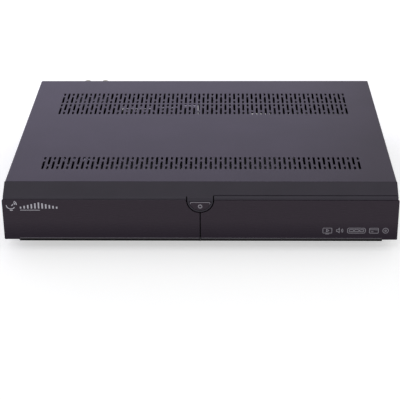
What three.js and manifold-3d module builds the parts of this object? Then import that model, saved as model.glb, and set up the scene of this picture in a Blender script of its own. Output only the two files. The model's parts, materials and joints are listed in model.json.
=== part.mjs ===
// Satellite television receiver: a painted steel case behind a moulded front whose right half is a
// drop-down door. Millimetres, +Z up, +X to the right seen from the front.
// Inside the case group y runs back from the face of the front plates and z runs up from the table.

import * as THREE from "three";
import { mergeGeometries, mergeVertices } from "three/addons/utils/BufferGeometryUtils.js";
import Module from "manifold-3d";

const wasm = await Module();
wasm.setup();

// General clearances
const gap = 0.3; // between pieces that meet
const overrun = 1; // how far a cutter passes the face that it cuts
const runningClearance = 0.1; // round a pin that turns in its bore

// Case
const frontWidth = 340;
const plateOverhang = 1; // of the front plates past each side of the case
const caseWidth = frontWidth - 2 * plateOverhang;
const coverDepth = 245;
const shellHeight = 50.5;
const footHeight = 9.5;
const sheet = 1;
const coverBend = 1.5;
const coverSideLift = 1.2;
const rearRecess = 1.5;
const sideFlangeHeight = 16;
const frontFlangeHeight = 3;

// Feet
const footRadius = 9;
const footChamfer = 0.8;
const footInset = 28;
const footRecessRadius = 4;
const footRecessDepth = 3;

// Cover vents: each column has one slot and one dot, which swap ends from one column to the next
const ventColumns = 65;
const ventPitch = 4.37;
const ventWidth = 1.9;
const ventSlotLength = 16.3;
const ventDotLength = 5;
const ventWeb = 4.2;
const frontVentCentre = 39;
const rearVentCentre = 181.5;
const rearVentSpacing = 29;

// Floor vents
const floorVentColumns = 7;
const floorVentRows = 2;
const floorVentPitch = 9;
const floorVentRowPitch = 46;
const floorVentWidth = 3;
const floorVentLength = 34;

// Screws
const coverScrewHeadRadius = 3;
const coverScrewShaftRadius = 1.5;
const coverScrewLength = 7;
const coverScrewInset = 25;
const coverScrewRise = 12;
const driveSlotWidth = 0.8;
const driveSlotLength = 3.4;
const driveSlotDepth = 0.6;
const boardScrewRadius = 1.5;
const standoffRadius = 3;

// Front plates
const plateRise = 2.1;
const slopeDrop = 7.5; // from the cover's level to the shoulder
const skinThickness = 2;
const frameThickness = 1.8;
const seamWidth = 0.8;
const shoulderRise = 3.3;
const plateHeight = shellHeight - plateRise - shoulderRise - slopeDrop;
const shoulderSetback = 2.5;
const shoulderLowSetback = 0.8;
const doorTopGap = 0.8;
const lipInset = 13;
const lipDepth = 0.6;
const lipSetback = 1.5;

// Bezel
const bezelDepth = 15;
const bezelWall = 2;
const slopeWall = 2.4;
const slopeEdge = 1.2;
const fasciaWall = 2;
const shelfWall = 1.4;

// Tongue and power button
const tongueRadius = 10.95;
const tongueGroove = 1;
const tongueSetback = 0.4;
const powerButtonRadius = 9.5;
const powerButtonDrop = 1.25;
const powerButtonDepth = 5;
const powerButtonProud = 0.3;
const powerStemRadius = 1.6;
const powerStemDrop = 5;

// Door hinge and catch
const hingePinRadius = 0.8;
const hingeKnuckleRadius = 2;
const hingeClearance = 0.4;
const hingeRise = 2.9;
const hingeLugWidth = 2.6;
const hingeOffset = 2.3;
const hingeBracketWidth = 2.6;
const hingeInset = 14;
const catchHeight = 5;

// Display behind the window
const displayShare = -0.2353;
const displayCentre = displayShare * frontWidth;
const displayRise = 18.4;
const displayWidth = 92;
const displayHeight = 17;
const tubeMargin = 4;
const tubeDepth = 6.5;
const tubeSetback = 2.7;
const tubeTipRadius = 1.6;
const tubeTipLength = 3;
const eyeOffset = 60;
const eyeWidth = 7;
const eyeHeight = 8;
const eyeDepth = 5;
const eyeLensRadius = 2.4;

// Front board and key switches
const boardThickness = 1.6;
const frontBoardMargin = 4.7; // above the middle of the power button's switch
const frontBoardLift = 3;
const frontBoardInset = 19;
const switchSize = 6;
const switchBodyDepth = 3.5;
const plungerDepth = 1;
const plungerRadius = 1.7;
const keyTravel = 0.5;

// Control buttons behind the door
const keyRadius = 3.1;
const keyFlange = 0.9;
const keyFlangeDepth = 0.8;
const keyProud = 1.8;
const keyTail = 0.5;
const keyRise = 21;
const keyPitch = 9;

// Slots behind the door
const slotClearance = 0.5; // between neighbours in the row
const moduleInset = 40;
const moduleWidth = 55;
const moduleHeight = 5.6;
const moduleDepth = 62;
const moduleWall = 1.2;
const moduleRise = 16.5;
const modulePitch = 13;
const ejectWidth = 4.4;
const ejectHeight = 5;
const ejectProud = 2.2;
const ejectRodWidth = 2;
const cardWidth = 54.8;
const cardHeight = 1.8;
const cardDepth = 58;
const cardWall = 1.4;
const cardRise = 21.5;
const cardPitch = 11;

// Boards: the sides of the rear two follow the case, and the slot board's its slots
const boardLift = 5;
const mainBoardShares = [-0.444, 0.136];
const mainBoardGap = 0.6; // behind the slot board
const slotBoardMargin = 0.8;
const slotBoardDepth = 84;
const powerBoardShares = [0.225, 0.479];
const powerBoardGap = 10.6; // behind the slot board
const boardRearGap = 3;
const boardHoleInset = 5;

// Parts on the main board
const processorWidth = 35;
const processorHeight = 2.2;
const heatSinkWidth = 40;
const heatSinkBase = 3;
const finCount = 9;
const finThickness = 1.1;
const finHeight = 14;
const chipHeight = 1.4;
const chipUnit = 11;
const canRadius = 4;
const canHeight = 11;
// Places across and along the board, and size in chip units
const chipShares = [
  [0.46, 0.22, 1, 1.3],
  [0.58, 0.22, 1, 1.3],
  [0.7, 0.22, 1, 1.3],
  [0.82, 0.22, 1, 1.3],
  [0.85, 0.46, 1.6, 1.6],
  [0.82, 0.7, 1.2, 1.2],
  [0.3, 0.34, 1.7, 1.2],
  [0.14, 0.4, 1.4, 1.4],
];
const canShares = [
  [0.08, 0.2],
  [0.14, 0.2],
  [0.2, 0.2],
  [0.32, 0.58],
  [0.38, 0.78],
  [0.7, 0.76],
  [0.93, 0.42],
  [0.93, 0.62],
];
const processorShares = [0.62, 0.52];

// Power supply
const transformerWidth = 34;
const transformerDepth = 30;
const transformerHeight = 26;
const transformerCore = 9;
const mainCanRadius = 11;
const mainCanHeight = 26;
const smallCanRadius = 5;
const smallCanHeight = 20;
const powerFinWidth = 40;
const powerFinThickness = 2.5;
const powerFinHeight = 25;
const powerFinFold = 8;
const transformerShares = [0.5, 0.42];
const mainCanShares = [0.28, 0.68];
const smallCanShares = [
  [0.2, 0.12],
  [0.4, 0.12],
  [0.6, 0.12],
];
const powerFinShares = [0.7, 0.66];

// Places across the rear panel, as shares of the case's width from its middle
const rearShares = {
  tuners: -0.333,
  serial: -0.207,
  network: -0.1065,
  data: -0.0414,
  disk: 0.0148,
  video: 0.071,
  optical: 0.1272,
  jacks: 0.071,
  vents: 0.213,
  mainsSwitch: 0.3047,
  mainsInlet: 0.4142,
};
const onRear = (share) => share * caseWidth;

// Tuners and their aerial sockets
const tunerCentre = onRear(rearShares.tuners);
const tunerWidth = 15;
const tunerDepth = 60;
const tunerTopGap = 1.6; // under the cover
const tunerWall = 0.8;
const tunerPitch = 18.2;
const aerialRadius = 4.75;
const aerialReach = 12.8;
const aerialDrop = 4.9; // of the upper sockets below the tuner's top
const aerialPitch = 20;
const aerialBoreRadius = 1.2;
const aerialBoreDepth = 8;
const nutRadius = 6.35;
const nutDepth = 2.2;

// Rear sockets on the main board
const serialSocket = { x: onRear(rearShares.serial), width: 30.8, height: 12.5, depth: 9 };
const serialShell = { width: 16.9, height: 8.4, reach: 6, wall: 0.6, slantShare: 0.18 };
const serialPins = { upper: 5, lower: 4, pitch: 2.76, rowPitch: 2.84, radius: 0.5 };
const serialNut = { spacing: 25, radius: 2.6, reach: 5 };
const networkSocket = { x: onRear(rearShares.network), width: 16, height: 13.6, depth: 21 };
const networkMouth = { width: 11.8, height: 7.6, depth: 12 };
const networkLatch = { width: 6, height: 2.6, lift: 2.4 };
const rearDataSocket = { x: onRear(rearShares.data), width: 14.6, height: 15.8, depth: 17.5, pitch: 7.4 };
const dataPort = { width: 12.6, height: 5.2, depth: 10, tongueWidth: 11.2, tongueHeight: 1.8, lift: 0.9 };
const diskSocket = { x: onRear(rearShares.disk), width: 14, height: 6, depth: 10 };
const diskMouth = { width: 11.8, height: 3.6, depth: 6, contactHeight: 1 };
const videoSocket = { x: onRear(rearShares.video), width: 15.4, height: 6.6, depth: 12 };
const videoMouth = { width: 14, height: 4.6, depth: 7, taper: 1.8 };
const videoTongue = { width: 10.6, height: 1.3 };
const opticalSocket = { x: onRear(rearShares.optical), width: 9.8, height: 9.8, depth: 14 };
const opticalMouth = { width: 6.6, height: 6.6, depth: 5 };
const socketProud = 0.4;

// Sound and picture jacks
const jackCentre = onRear(rearShares.jacks);
const jackPitch = 14;
const jackCount = 3;
const jackBodyHeight = 12.6;
const jackBodyDepth = 14;
const jackRadius = 4.15;
const jackReach = 8.5;
const jackBoreRadius = 1.7;
const jackBoreDepth = 10;
const jackLift = 10;

// Mains inlet and switch
const inletCentre = onRear(rearShares.mainsInlet);
const inletRise = 26;
const inletWidth = 27;
const inletHeight = 19.6;
const inletDepth = 20;
const inletFlange = 2;
const inletFlangeDepth = 2;
const inletMouthWidth = 24;
const inletMouthHeight = 16.4;
const inletMouthDepth = 17;
const inletPinWidth = 2;
const inletPinHeight = 4;
const inletPinSpacing = 14;
const inletPinOffset = 4;
const inletPinRecess = 1.6;
const inletCorner = 4.5;
const switchCentre = onRear(rearShares.mainsSwitch);
const rockerBoxWidth = 19.2;
const rockerBoxHeight = 13;
const rockerBoxDepth = 16;
const rockerFlange = 1.6;
const rockerFlangeDepth = 1.8;
const rockerMouthWidth = 17;
const rockerMouthHeight = 11;
const rockerMouthDepth = 11;
const rockerHalfLength = 7.6;
const rockerEnd = 4.2;
const rockerMiddle = 3;
const rockerSkirt = 1;
const rockerHub = 2.6;
const rockerPivotDepth = 4;
const rockerTilt = 9;

// Disk bracket
const diskWidth = 101.6;
const diskClearance = 0.4;
const bracketShare = -0.287;
const bracketCentre = bracketShare * caseWidth;
const bracketSetback = 28;
const bracketRearGap = 4.5; // before the main board
const bracketLift = 7;
const bracketFlange = 14;
const bracketLegWidth = 10;
const bracketHoleRadius = 1.8;
const bracketHoleInset = 14;

// Inner cables
const ribbonWidth = 16;
const ribbonThickness = 0.8;
const ribbonCentre = 20;
const ribbonArch = 8;
const ribbonBend = 6;
const leadWidth = 12;
const leadThickness = 1.6;
const leadShare = 0.3125; // of the main board's depth
const leadArch = 9;

// Rear panel vents
const panelVentCount = 11;
const panelVentPitch = 4.4;
const panelVentWidth = 2;
const panelVentHeight = 11;
const panelVentCentre = onRear(rearShares.vents);
const panelVentRise = 9.5;

// Levels and planes that the sizes above give
const floorLevel = footHeight;
const floorTop = floorLevel + sheet;
const caseTop = footHeight + shellHeight;
const coverFront = bezelDepth + gap;
const coverRear = bezelDepth + coverDepth;
const panelFace = coverRear - rearRecess;
const panelInside = panelFace - sheet;
const overallDepth = panelFace + aerialReach;
const plateBottom = floorLevel + plateRise;
const plateTop = plateBottom + plateHeight;
const shoulderTop = plateTop + shoulderRise;
const frameFront = skinThickness + gap;
const frameBack = frameFront + frameThickness;
const lipTop = plateBottom - gap;
const lipBottom = lipTop - lipDepth;
const hingeSetback = frameBack + hingeKnuckleRadius + hingeClearance;
const hingeLevel = plateBottom + hingeRise;
const fasciaFront = hingeSetback + hingeLevel - lipBottom + gap;
const fasciaBack = fasciaFront + fasciaWall;
const keyEnd = fasciaBack + gap + keyFlangeDepth + keyTail;
const frontBoardFace = keyEnd + keyTravel + gap + plungerDepth + switchBodyDepth;
const boardUnderside = floorTop + boardLift;
const boardTop = boardUnderside + boardThickness;
const boardRear = panelInside - boardRearGap;
const slotBoardFront = coverFront + 2 * (sheet + gap);
const slotBoardRear = slotBoardFront + slotBoardDepth;
const moduleCentre = caseWidth / 2 - moduleInset;
const moduleOuter = moduleWidth + 2 * (gap + moduleWall);
const cardOuter = cardWidth + 2 * (gap + cardWall);
const cardCentre = moduleCentre - moduleOuter / 2 - gap - cardOuter / 2;
const ejectCentre = moduleCentre + moduleOuter / 2 + slotClearance + gap + ejectWidth / 2;
const keyCentre = cardCentre - cardOuter / 2 - slotClearance - keyRadius - keyFlange - keyPitch;
const slotBoardSides = [
  cardCentre - cardOuter / 2 - slotBoardMargin,
  ejectCentre + ejectWidth / 2 + slotBoardMargin,
];
const frontBoardSides = [frontBoardInset - caseWidth / 2, slotBoardSides[0] - slotClearance];
const keyLevel = floorLevel + keyRise;
const powerButtonLevel = plateTop - powerStemDrop;
const slopeFall = (caseTop - shoulderTop) / (bezelDepth - shoulderSetback);
const doorLedge = shoulderTop - slopeEdge - gap;
const innerHalf = caseWidth / 2 - sheet - gap;
const boardMiddle = (boardUnderside + boardTop) / 2;
const socketLevel = boardTop + gap;
const socketFace = panelFace + socketProud;
const tunerTop = caseTop - sheet - tunerTopGap;
const rockerAxis = panelFace + gap + rockerFlangeDepth - rockerPivotDepth;
const bracketFloor = floorTop + bracketLift;
const bracketOuter = diskWidth + 2 * (diskClearance + sheet);

// Solids: three.js makes every shape, and the joins and cuts are worked out on the closed meshes
function solid(geometry) {
  const bare = geometry.clone();
  bare.deleteAttribute("normal");
  bare.deleteAttribute("uv");
  const merged = mergeVertices(bare);
  return new wasm.Manifold(
    new wasm.Mesh({
      numProp: 3,
      vertProperties: new Float32Array(merged.attributes.position.array),
      triVerts: new Uint32Array(merged.index.array),
    }),
  );
}

function geometryOf(body) {
  const mesh = body.getMesh();
  const geometry = new THREE.BufferGeometry();
  const places = new Float32Array(mesh.vertProperties);
  geometry.setAttribute("position", new THREE.BufferAttribute(places, mesh.numProp));
  geometry.setIndex(new THREE.BufferAttribute(new Uint32Array(mesh.triVerts), 1));
  const faceted = geometry.toNonIndexed();
  faceted.computeVertexNormals();
  return faceted;
}

const joined = (...bodies) => bodies.reduce((whole, body) => whole.add(body));
const cut = (body, ...cutters) => cutters.reduce((left, cutter) => left.subtract(cutter), body);

// A straight block between two x, two y and two z values
function blockGeometry([x0, x1], [y0, y1], [z0, z1]) {
  const block = new THREE.BoxGeometry(x1 - x0, y1 - y0, z1 - z0);
  return block.translate((x0 + x1) / 2, (y0 + y1) / 2, (z0 + z1) / 2);
}
const block = (x, y, z) => solid(blockGeometry(x, y, z));
const about = (centre, width) => [centre - width / 2, centre + width / 2];
const ordered = (a, b) => [Math.min(a, b), Math.max(a, b)];

// An outline is drawn in y and z to run along x, in x and z to run along y, or in x and y to run along z
const axisTurns = {
  x: new THREE.Matrix4().makeBasis(
    new THREE.Vector3(0, 1, 0), new THREE.Vector3(0, 0, 1), new THREE.Vector3(1, 0, 0)),
  y: new THREE.Matrix4().makeBasis(
    new THREE.Vector3(1, 0, 0), new THREE.Vector3(0, 0, 1), new THREE.Vector3(0, -1, 0)),
  z: new THREE.Matrix4(),
};
function prism(shape, axis, [from, to], arcSteps = 8) {
  const geometry = new THREE.ExtrudeGeometry(shape, {
    depth: to - from,
    bevelEnabled: false,
    curveSegments: arcSteps,
  });
  geometry.translate(0, 0, axis === "y" ? -to : from);
  return solid(geometry.applyMatrix4(axisTurns[axis]));
}

const outline = (points) => new THREE.Shape(points.map(([across, up]) => new THREE.Vector2(across, up)));

// A rod has twice as many sides as arc steps
function rod(radius, axis, span, [across, up], arcSteps = 8) {
  const circle = new THREE.Shape().absarc(across, up, radius, 0, 2 * Math.PI);
  return prism(circle, axis, span, arcSteps);
}

// The scene graph
const receiver = new THREE.Group();
receiver.position.y = -overallDepth / 2;

const finishes = {
  paintedSteel: { color: 0x5c5b66, roughness: 0.5, metalness: 0.2 },
  zincSteel: { color: 0xa9adb0, roughness: 0.4, metalness: 0.9 },
  darkMoulding: { color: 0x3f3c42, roughness: 0.42, metalness: 0 },
  smokedPlate: { color: 0x332f35, roughness: 0.22, metalness: 0 },
  blackPlastic: { color: 0x1b1b1d, roughness: 0.5, metalness: 0 },
  rubber: { color: 0x202022, roughness: 0.9, metalness: 0 },
  board: { color: 0x2d5a35, roughness: 0.5, metalness: 0 },
  brightSteel: { color: 0xc8cacc, roughness: 0.25, metalness: 1 },
  aluminium: { color: 0xb4b7ba, roughness: 0.45, metalness: 0.9 },
  displayGlass: { color: 0x20282a, roughness: 0.1, metalness: 0 },
  whitePlastic: { color: 0xd8d6cf, roughness: 0.6, metalness: 0 },
};

function piece(name, body, finish, place = [0, 0, 0], parent = receiver) {
  const material = new THREE.MeshStandardMaterial(finishes[finish]);
  const mesh = new THREE.Mesh(body.isBufferGeometry ? body : geometryOf(body), material);
  mesh.name = name;
  mesh.position.set(...place);
  parent.add(mesh);
  return mesh;
}

// Cover: a sheet folded down at both sides, with the vents cut through its top
function ventCutters() {
  const bandLength = ventSlotLength + ventWeb + ventDotLength;
  const bandCentres = [
    frontVentCentre,
    rearVentCentre - rearVentSpacing / 2,
    rearVentCentre + rearVentSpacing / 2,
  ];
  const through = [caseTop - sheet - overrun, caseTop + overrun];
  const holes = [];
  for (const bandCentre of bandCentres) {
    const [bandFront, bandRear] = about(bezelDepth + bandCentre, bandLength);
    for (let column = 0; column < ventColumns; column++) {
      const across = about((column - (ventColumns - 1) / 2) * ventPitch, ventWidth);
      const frontLength = column % 2 === 0 ? ventSlotLength : ventDotLength;
      holes.push(blockGeometry(across, [bandFront, bandFront + frontLength], through));
      holes.push(blockGeometry(across, [bandFront + frontLength + ventWeb, bandRear], through));
    }
  }
  return solid(mergeGeometries(holes));
}

// Cover screws: the side and the distance back of each, and the holes for them
const screwSides = { left: -1, right: 1 };
const screwEnds = { front: coverFront + coverScrewInset, rear: coverRear - coverScrewInset };
const screwLevel = floorLevel + coverScrewRise;

function screwHoles(half, radius, arcSteps) {
  return Object.values(screwSides).flatMap((side) =>
    Object.values(screwEnds).map((along) =>
      rod(radius, "x", about(side * half, 2 * (sheet + overrun)), [along, screwLevel], arcSteps),
    ),
  );
}

function topCover() {
  const half = caseWidth / 2;
  const bottom = floorLevel + coverSideLift;
  const bendCentre = half - coverBend;
  const section = new THREE.Shape();
  section.moveTo(half, bottom);
  section.lineTo(half, caseTop - coverBend);
  section.absarc(bendCentre, caseTop - coverBend, coverBend, 0, Math.PI / 2);
  section.lineTo(-bendCentre, caseTop);
  section.absarc(-bendCentre, caseTop - coverBend, coverBend, Math.PI / 2, Math.PI);
  section.lineTo(-half, bottom);
  section.lineTo(-half + sheet, bottom);
  section.lineTo(-half + sheet, caseTop - sheet);
  section.lineTo(half - sheet, caseTop - sheet);
  section.lineTo(half - sheet, bottom);
  const holes = screwHoles(half, coverScrewHeadRadius + gap, 8);
  return cut(prism(section, "y", [coverFront, coverRear], 4), ventCutters(), ...holes);
}

// Base: floor, two side flanges inside the cover, a low flange at the front, and the floor vents
function floorVents() {
  const vents = [];
  const through = [floorLevel - overrun, floorTop + overrun];
  for (const { centre } of [boards.main, boards.power])
    for (let row = 0; row < floorVentRows; row++)
      for (let column = 0; column < floorVentColumns; column++) {
        const x = centre + (column - (floorVentColumns - 1) / 2) * floorVentPitch;
        const y = (coverFront + coverRear) / 2 + (row + 1 / 2) * floorVentRowPitch;
        vents.push(blockGeometry(about(x, floorVentWidth), about(y, floorVentLength), through));
      }
  return solid(mergeGeometries(vents));
}

function baseChassis() {
  const across = [-innerHalf, innerHalf];
  const front = coverFront + sheet;
  const along = [front, panelInside - gap];
  const sideHeight = [floorLevel, floorLevel + sideFlangeHeight];
  const side = (sign) => block(ordered(sign * innerHalf, sign * (innerHalf - sheet)), along, sideHeight);
  const floor = block(across, along, [floorLevel, floorTop]);
  const frontFlange = block(across, [front, front + sheet], [floorLevel, floorTop + frontFlangeHeight]);
  const tray = joined(floor, side(-1), side(1), frontFlange);
  const holes = screwHoles(innerHalf, coverScrewShaftRadius + gap, 6);
  return joined(cut(tray, floorVents(), ...holes), ...standoffs());
}

// Rear panel: a sheet with a cut-out for every socket
function panelOpening(centre, rise, width, height) {
  return block(
    about(centre, width + 2 * gap),
    [panelInside - overrun, panelFace + overrun],
    about(rise, height + 2 * gap),
  );
}

function onBoardOpening(socket) {
  return panelOpening(socket.x, socketLevel + socket.height / 2, socket.width, socket.height);
}

function tunerCentres() {
  return about(tunerCentre, tunerPitch);
}

const aerialLevels = {
  lower: tunerTop - aerialDrop - aerialPitch,
  upper: tunerTop - aerialDrop,
};

function jackLevels() {
  const lower = socketLevel + jackLift;
  return [lower, lower + jackBodyHeight + gap];
}

const jackPlaces = () =>
  Array.from({ length: jackCount }, (_, index) => jackCentre + (index - (jackCount - 1) / 2) * jackPitch);

function rearPanel() {
  const through = [panelInside - overrun, panelFace + overrun];
  const panel = block([-innerHalf, innerHalf], [panelInside, panelFace], [floorLevel, caseTop - sheet - gap]);
  const openings = [serialSocket, networkSocket, rearDataSocket, diskSocket, videoSocket, opticalSocket]
    .map(onBoardOpening);
  openings.push(panelOpening(inletCentre, floorLevel + inletRise, inletWidth, inletHeight));
  openings.push(panelOpening(switchCentre, floorLevel + inletRise, rockerBoxWidth, rockerBoxHeight));
  for (const level of Object.values(aerialLevels))
    for (const x of tunerCentres()) openings.push(rod(aerialRadius + gap, "y", through, [x, level]));
  for (const level of jackLevels().map((bottom) => bottom + jackBodyHeight / 2))
    for (const x of jackPlaces()) openings.push(rod(jackRadius + gap, "y", through, [x, level]));
  const ventSpan = about(floorLevel + panelVentRise, panelVentHeight);
  for (let index = 0; index < panelVentCount; index++) {
    const x = panelVentCentre + (index - (panelVentCount - 1) / 2) * panelVentPitch;
    openings.push(block(about(x, panelVentWidth), through, ventSpan));
  }
  return cut(panel, ...openings);
}

// Foot: a turned rubber pad with its fixing recess underneath
function footGeometry() {
  const top = footHeight - gap;
  return new THREE.LatheGeometry(
    [
      new THREE.Vector2(0, footRecessDepth),
      new THREE.Vector2(footRecessRadius, footRecessDepth),
      new THREE.Vector2(footRecessRadius, 0),
      new THREE.Vector2(footRadius - footChamfer, 0),
      new THREE.Vector2(footRadius, footChamfer),
      new THREE.Vector2(footRadius, top),
      new THREE.Vector2(0, top),
    ],
    16,
  ).rotateX(Math.PI / 2);
}

function feet() {
  const across = caseWidth / 2 - footInset;
  const ends = { front: coverFront + footInset, rear: coverRear - footInset };
  for (const [end, y] of Object.entries(ends))
    for (const [side, x] of Object.entries({ left: -across, right: across }))
      piece(`foot_${end}_${side}`, solid(footGeometry()), "rubber", [x, y, 0]);
}

// Cover screw: a flat head that lies in the cover's right side, with crossed drive slots
function coverScrew() {
  const drive = [-driveSlotDepth, overrun];
  return cut(
    joined(
      rod(coverScrewHeadRadius, "x", [-sheet, 0], [0, 0], 6),
      rod(coverScrewShaftRadius, "x", [-coverScrewLength, -sheet / 2], [0, 0], 3),
    ),
    block(drive, about(0, driveSlotLength), about(0, driveSlotWidth)),
    block(drive, about(0, driveSlotWidth), about(0, driveSlotLength)),
  );
}

function coverScrews() {
  for (const [end, along] of Object.entries(screwEnds))
    for (const [side, sign] of Object.entries(screwSides)) {
      const place = [(sign * caseWidth) / 2, along, screwLevel];
      const screw = piece(`cover_screw_${end}_${side}`, coverScrew(), "brightSteel", place);
      if (sign < 0) screw.rotation.z = Math.PI;
    }
}

// Front plates: the outline of one half, seen from the front, with the quarter notch round the tongue
const plateHalf = frontWidth / 2;
const shoulderHalf = caseWidth / 2;

function tongueCutter(radius, span) {
  const notch = new THREE.Shape();
  notch.moveTo(-radius, caseTop);
  notch.lineTo(-radius, plateTop);
  notch.absarc(0, plateTop, radius, Math.PI, 2 * Math.PI);
  notch.lineTo(radius, caseTop);
  return prism(notch, "y", span, 12);
}

function skin(side) {
  const across = ordered(side * seamWidth / 2, side * plateHalf);
  const plate = block(across, [0, skinThickness], [plateBottom, plateTop]);
  return cut(plate, tongueCutter(tongueRadius + tongueGroove, [-overrun, skinThickness + overrun]));
}

// Rounded shoulder along the top of a half, drawn in y and z: the door's stays below the sloping top's
// edge, and the fixed half's runs into it
function shoulderSection(side) {
  const section = new THREE.Shape();
  section.moveTo(shoulderSetback, shoulderTop);
  const bulge = shoulderTop - shoulderRise / 4;
  section.quadraticCurveTo(shoulderLowSetback, bulge, shoulderLowSetback, plateTop + gap);
  section.lineTo(frameBack, plateTop + gap);
  if (side < 0) {
    section.lineTo(frameBack, slopeLevel(frameBack) - slopeEdge / 2);
  } else {
    section.lineTo(frameBack, doorLedge);
    section.lineTo(shoulderSetback, doorLedge);
  }
  return section;
}

// Frame behind a plate, with the shoulder on top and a lip that hooks under the plate; the fixed half's
// runs on behind the seam
function plateFrame(side) {
  const inner = side < 0 ? seamWidth / 2 - gap : seamWidth / 2;
  const across = ordered(inner, side * shoulderHalf);
  const lipAcross = ordered(inner, side * (plateHalf - lipInset));
  const wall = block(across, [frameFront, frameBack], [lipTop, (plateTop + gap + doorLedge) / 2]);
  const shoulder = prism(shoulderSection(side), "x", across, 10);
  const lip = block(lipAcross, [lipSetback, frameBack], [lipBottom, lipTop]);
  const lipRoot = block(lipAcross, [frameFront, frameBack], [lipBottom, lipTop + lipDepth]);
  return joined(wall, shoulder, lip, lipRoot);
}

// Bezel: sloping top, cheeks, fascia, shelf, tongue and the left half's frame in one moulding
const slopeLevel = (y) => caseTop - (bezelDepth - y) * slopeFall;

function slopeTop(side) {
  const front = side < 0 ? shoulderSetback : shoulderSetback + doorTopGap;
  const across = ordered(0, side * shoulderHalf);
  return prism(
    outline([
      [front, slopeLevel(front)],
      [front, slopeLevel(front) - slopeEdge],
      [bezelDepth, caseTop - slopeWall],
      [bezelDepth, caseTop],
    ]),
    "x",
    across,
  );
}

// Cheek at a side: its lower front corner is rounded about the hinge, clear of the door as it swings
function cheek(side) {
  const across = ordered(side * (shoulderHalf - bezelWall), side * shoulderHalf);
  const front = frameBack + gap;
  const rounding = hingeSetback - front;
  const section = new THREE.Shape();
  section.moveTo(fasciaFront, hingeLevel - rounding);
  section.lineTo(fasciaFront, floorLevel);
  section.lineTo(bezelDepth, floorLevel);
  section.lineTo(bezelDepth, caseTop - slopeWall / 2);
  section.lineTo(front, slopeLevel(front) - slopeWall / 2);
  section.absarc(hingeSetback, hingeLevel, rounding, Math.PI, 1.5 * Math.PI);
  return prism(section, "x", across, 6);
}

function tongue() {
  const under = prism(
    outline([
      [tongueSetback, floorLevel],
      [tongueSetback, slopeLevel(tongueSetback)],
      [fasciaBack, slopeLevel(fasciaBack)],
      [fasciaBack, floorLevel],
    ]),
    "x",
    [-tongueRadius, tongueRadius],
  );
  return tongueCutter(tongueRadius, [tongueSetback, fasciaBack]).intersect(under);
}

// Half moon below a level line that lies a little under the centre of its arc
function powerButtonShape(centreLevel, radius, drop) {
  const tilt = Math.asin(drop / radius);
  const shape = new THREE.Shape();
  shape.absarc(0, centreLevel, radius, Math.PI + tilt, 2 * Math.PI - tilt);
  return shape;
}

const keyPlaces = {
  menu_button: [keyCentre - keyPitch, keyLevel],
  exit_button: [keyCentre + keyPitch, keyLevel],
  ok_button: [keyCentre, keyLevel],
  up_button: [keyCentre, keyLevel + keyPitch],
  down_button: [keyCentre, keyLevel - keyPitch],
};
const moduleLevels = {
  lower: floorLevel + moduleRise,
  upper: floorLevel + moduleRise + modulePitch,
};
const cardLevels = {
  lower: floorLevel + cardRise,
  upper: floorLevel + cardRise + cardPitch,
};
const frontPortLevel = socketLevel + rearDataSocket.pitch / 2;
const throughFascia = [fasciaFront - overrun, fasciaBack + overrun];

function hingeStations() {
  const outer = shoulderHalf - bezelWall - hingeOffset - hingeBracketWidth / 2;
  return [
    { bracket: hingeInset, lug: hingeInset + hingeBracketWidth / 2 + gap + hingeLugWidth / 2 },
    { bracket: outer, lug: outer - hingeBracketWidth / 2 - gap - hingeLugWidth / 2 },
  ];
}

function hingeBracket(centre) {
  const arm = block(
    about(centre, hingeBracketWidth),
    [hingeSetback, fasciaFront + fasciaWall / 2],
    about(hingeLevel, 2 * hingeKnuckleRadius),
  );
  const knuckle = rod(hingeKnuckleRadius, "x", about(centre, hingeBracketWidth), [hingeSetback, hingeLevel]);
  const bore = rod(
    hingePinRadius + gap,
    "x",
    about(centre, hingeBracketWidth + 2 * overrun),
    [hingeSetback, hingeLevel],
  );
  return cut(joined(arm, knuckle), bore);
}

// Walls behind the front plates: fascia, centre wall and shelves
function bezelWalls() {
  const inner = shoulderHalf - bezelWall / 2;
  const fasciaTop = slopeLevel(fasciaFront) - slopeWall / 2;
  const wallTop = slopeLevel(frameBack) - slopeWall / 2;
  return joined(
    block([0, inner], [fasciaFront, fasciaBack], [floorLevel, fasciaTop]),
    block([-bezelWall, 0], [frameBack - gap, fasciaBack], [floorLevel, wallTop]),
    block([-inner, inner], [fasciaFront, bezelDepth], [floorLevel, floorLevel + shelfWall]),
    block([-inner, 0], [frameFront, fasciaFront + overrun], [lipTop, lipTop + shelfWall]),
  );
}

// Frame of the fixed half, open for the display and for the remote control's eye
function windowFrame() {
  const through = [frameFront - overrun, frameBack + overrun];
  const level = floorLevel + displayRise;
  return cut(
    plateFrame(-1),
    block(about(displayCentre, displayWidth), through, about(level, displayHeight)),
    block(about(displayCentre + eyeOffset, eyeWidth), through, about(level, eyeHeight)),
    tongueCutter(tongueRadius + tongueGroove, [-overrun, frameBack + overrun]),
  );
}

// Openings in the tongue and the fascia
function bezelOpenings() {
  const pocketBack = tongueSetback + powerButtonDepth + keyTravel + gap;
  const openings = [
    prism(
      powerButtonShape(plateTop, powerButtonRadius + gap, powerButtonDrop - gap),
      "y",
      [-overrun, pocketBack],
      12,
    ),
    rod(powerStemRadius + gap, "y", [0, fasciaBack + overrun], [0, powerButtonLevel]),
    panelHole(cardCentre, frontPortLevel, dataPort.width, dataPort.height),
  ];
  for (const place of Object.values(keyPlaces))
    openings.push(rod(keyRadius + gap, "y", throughFascia, place));
  for (const level of Object.values(moduleLevels)) {
    openings.push(panelHole(moduleCentre, level, moduleWidth, moduleHeight));
    openings.push(panelHole(ejectCentre, level, ejectWidth, ejectHeight));
  }
  for (const level of Object.values(cardLevels))
    openings.push(panelHole(cardCentre, level, cardWidth, cardHeight));
  return openings;
}

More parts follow.
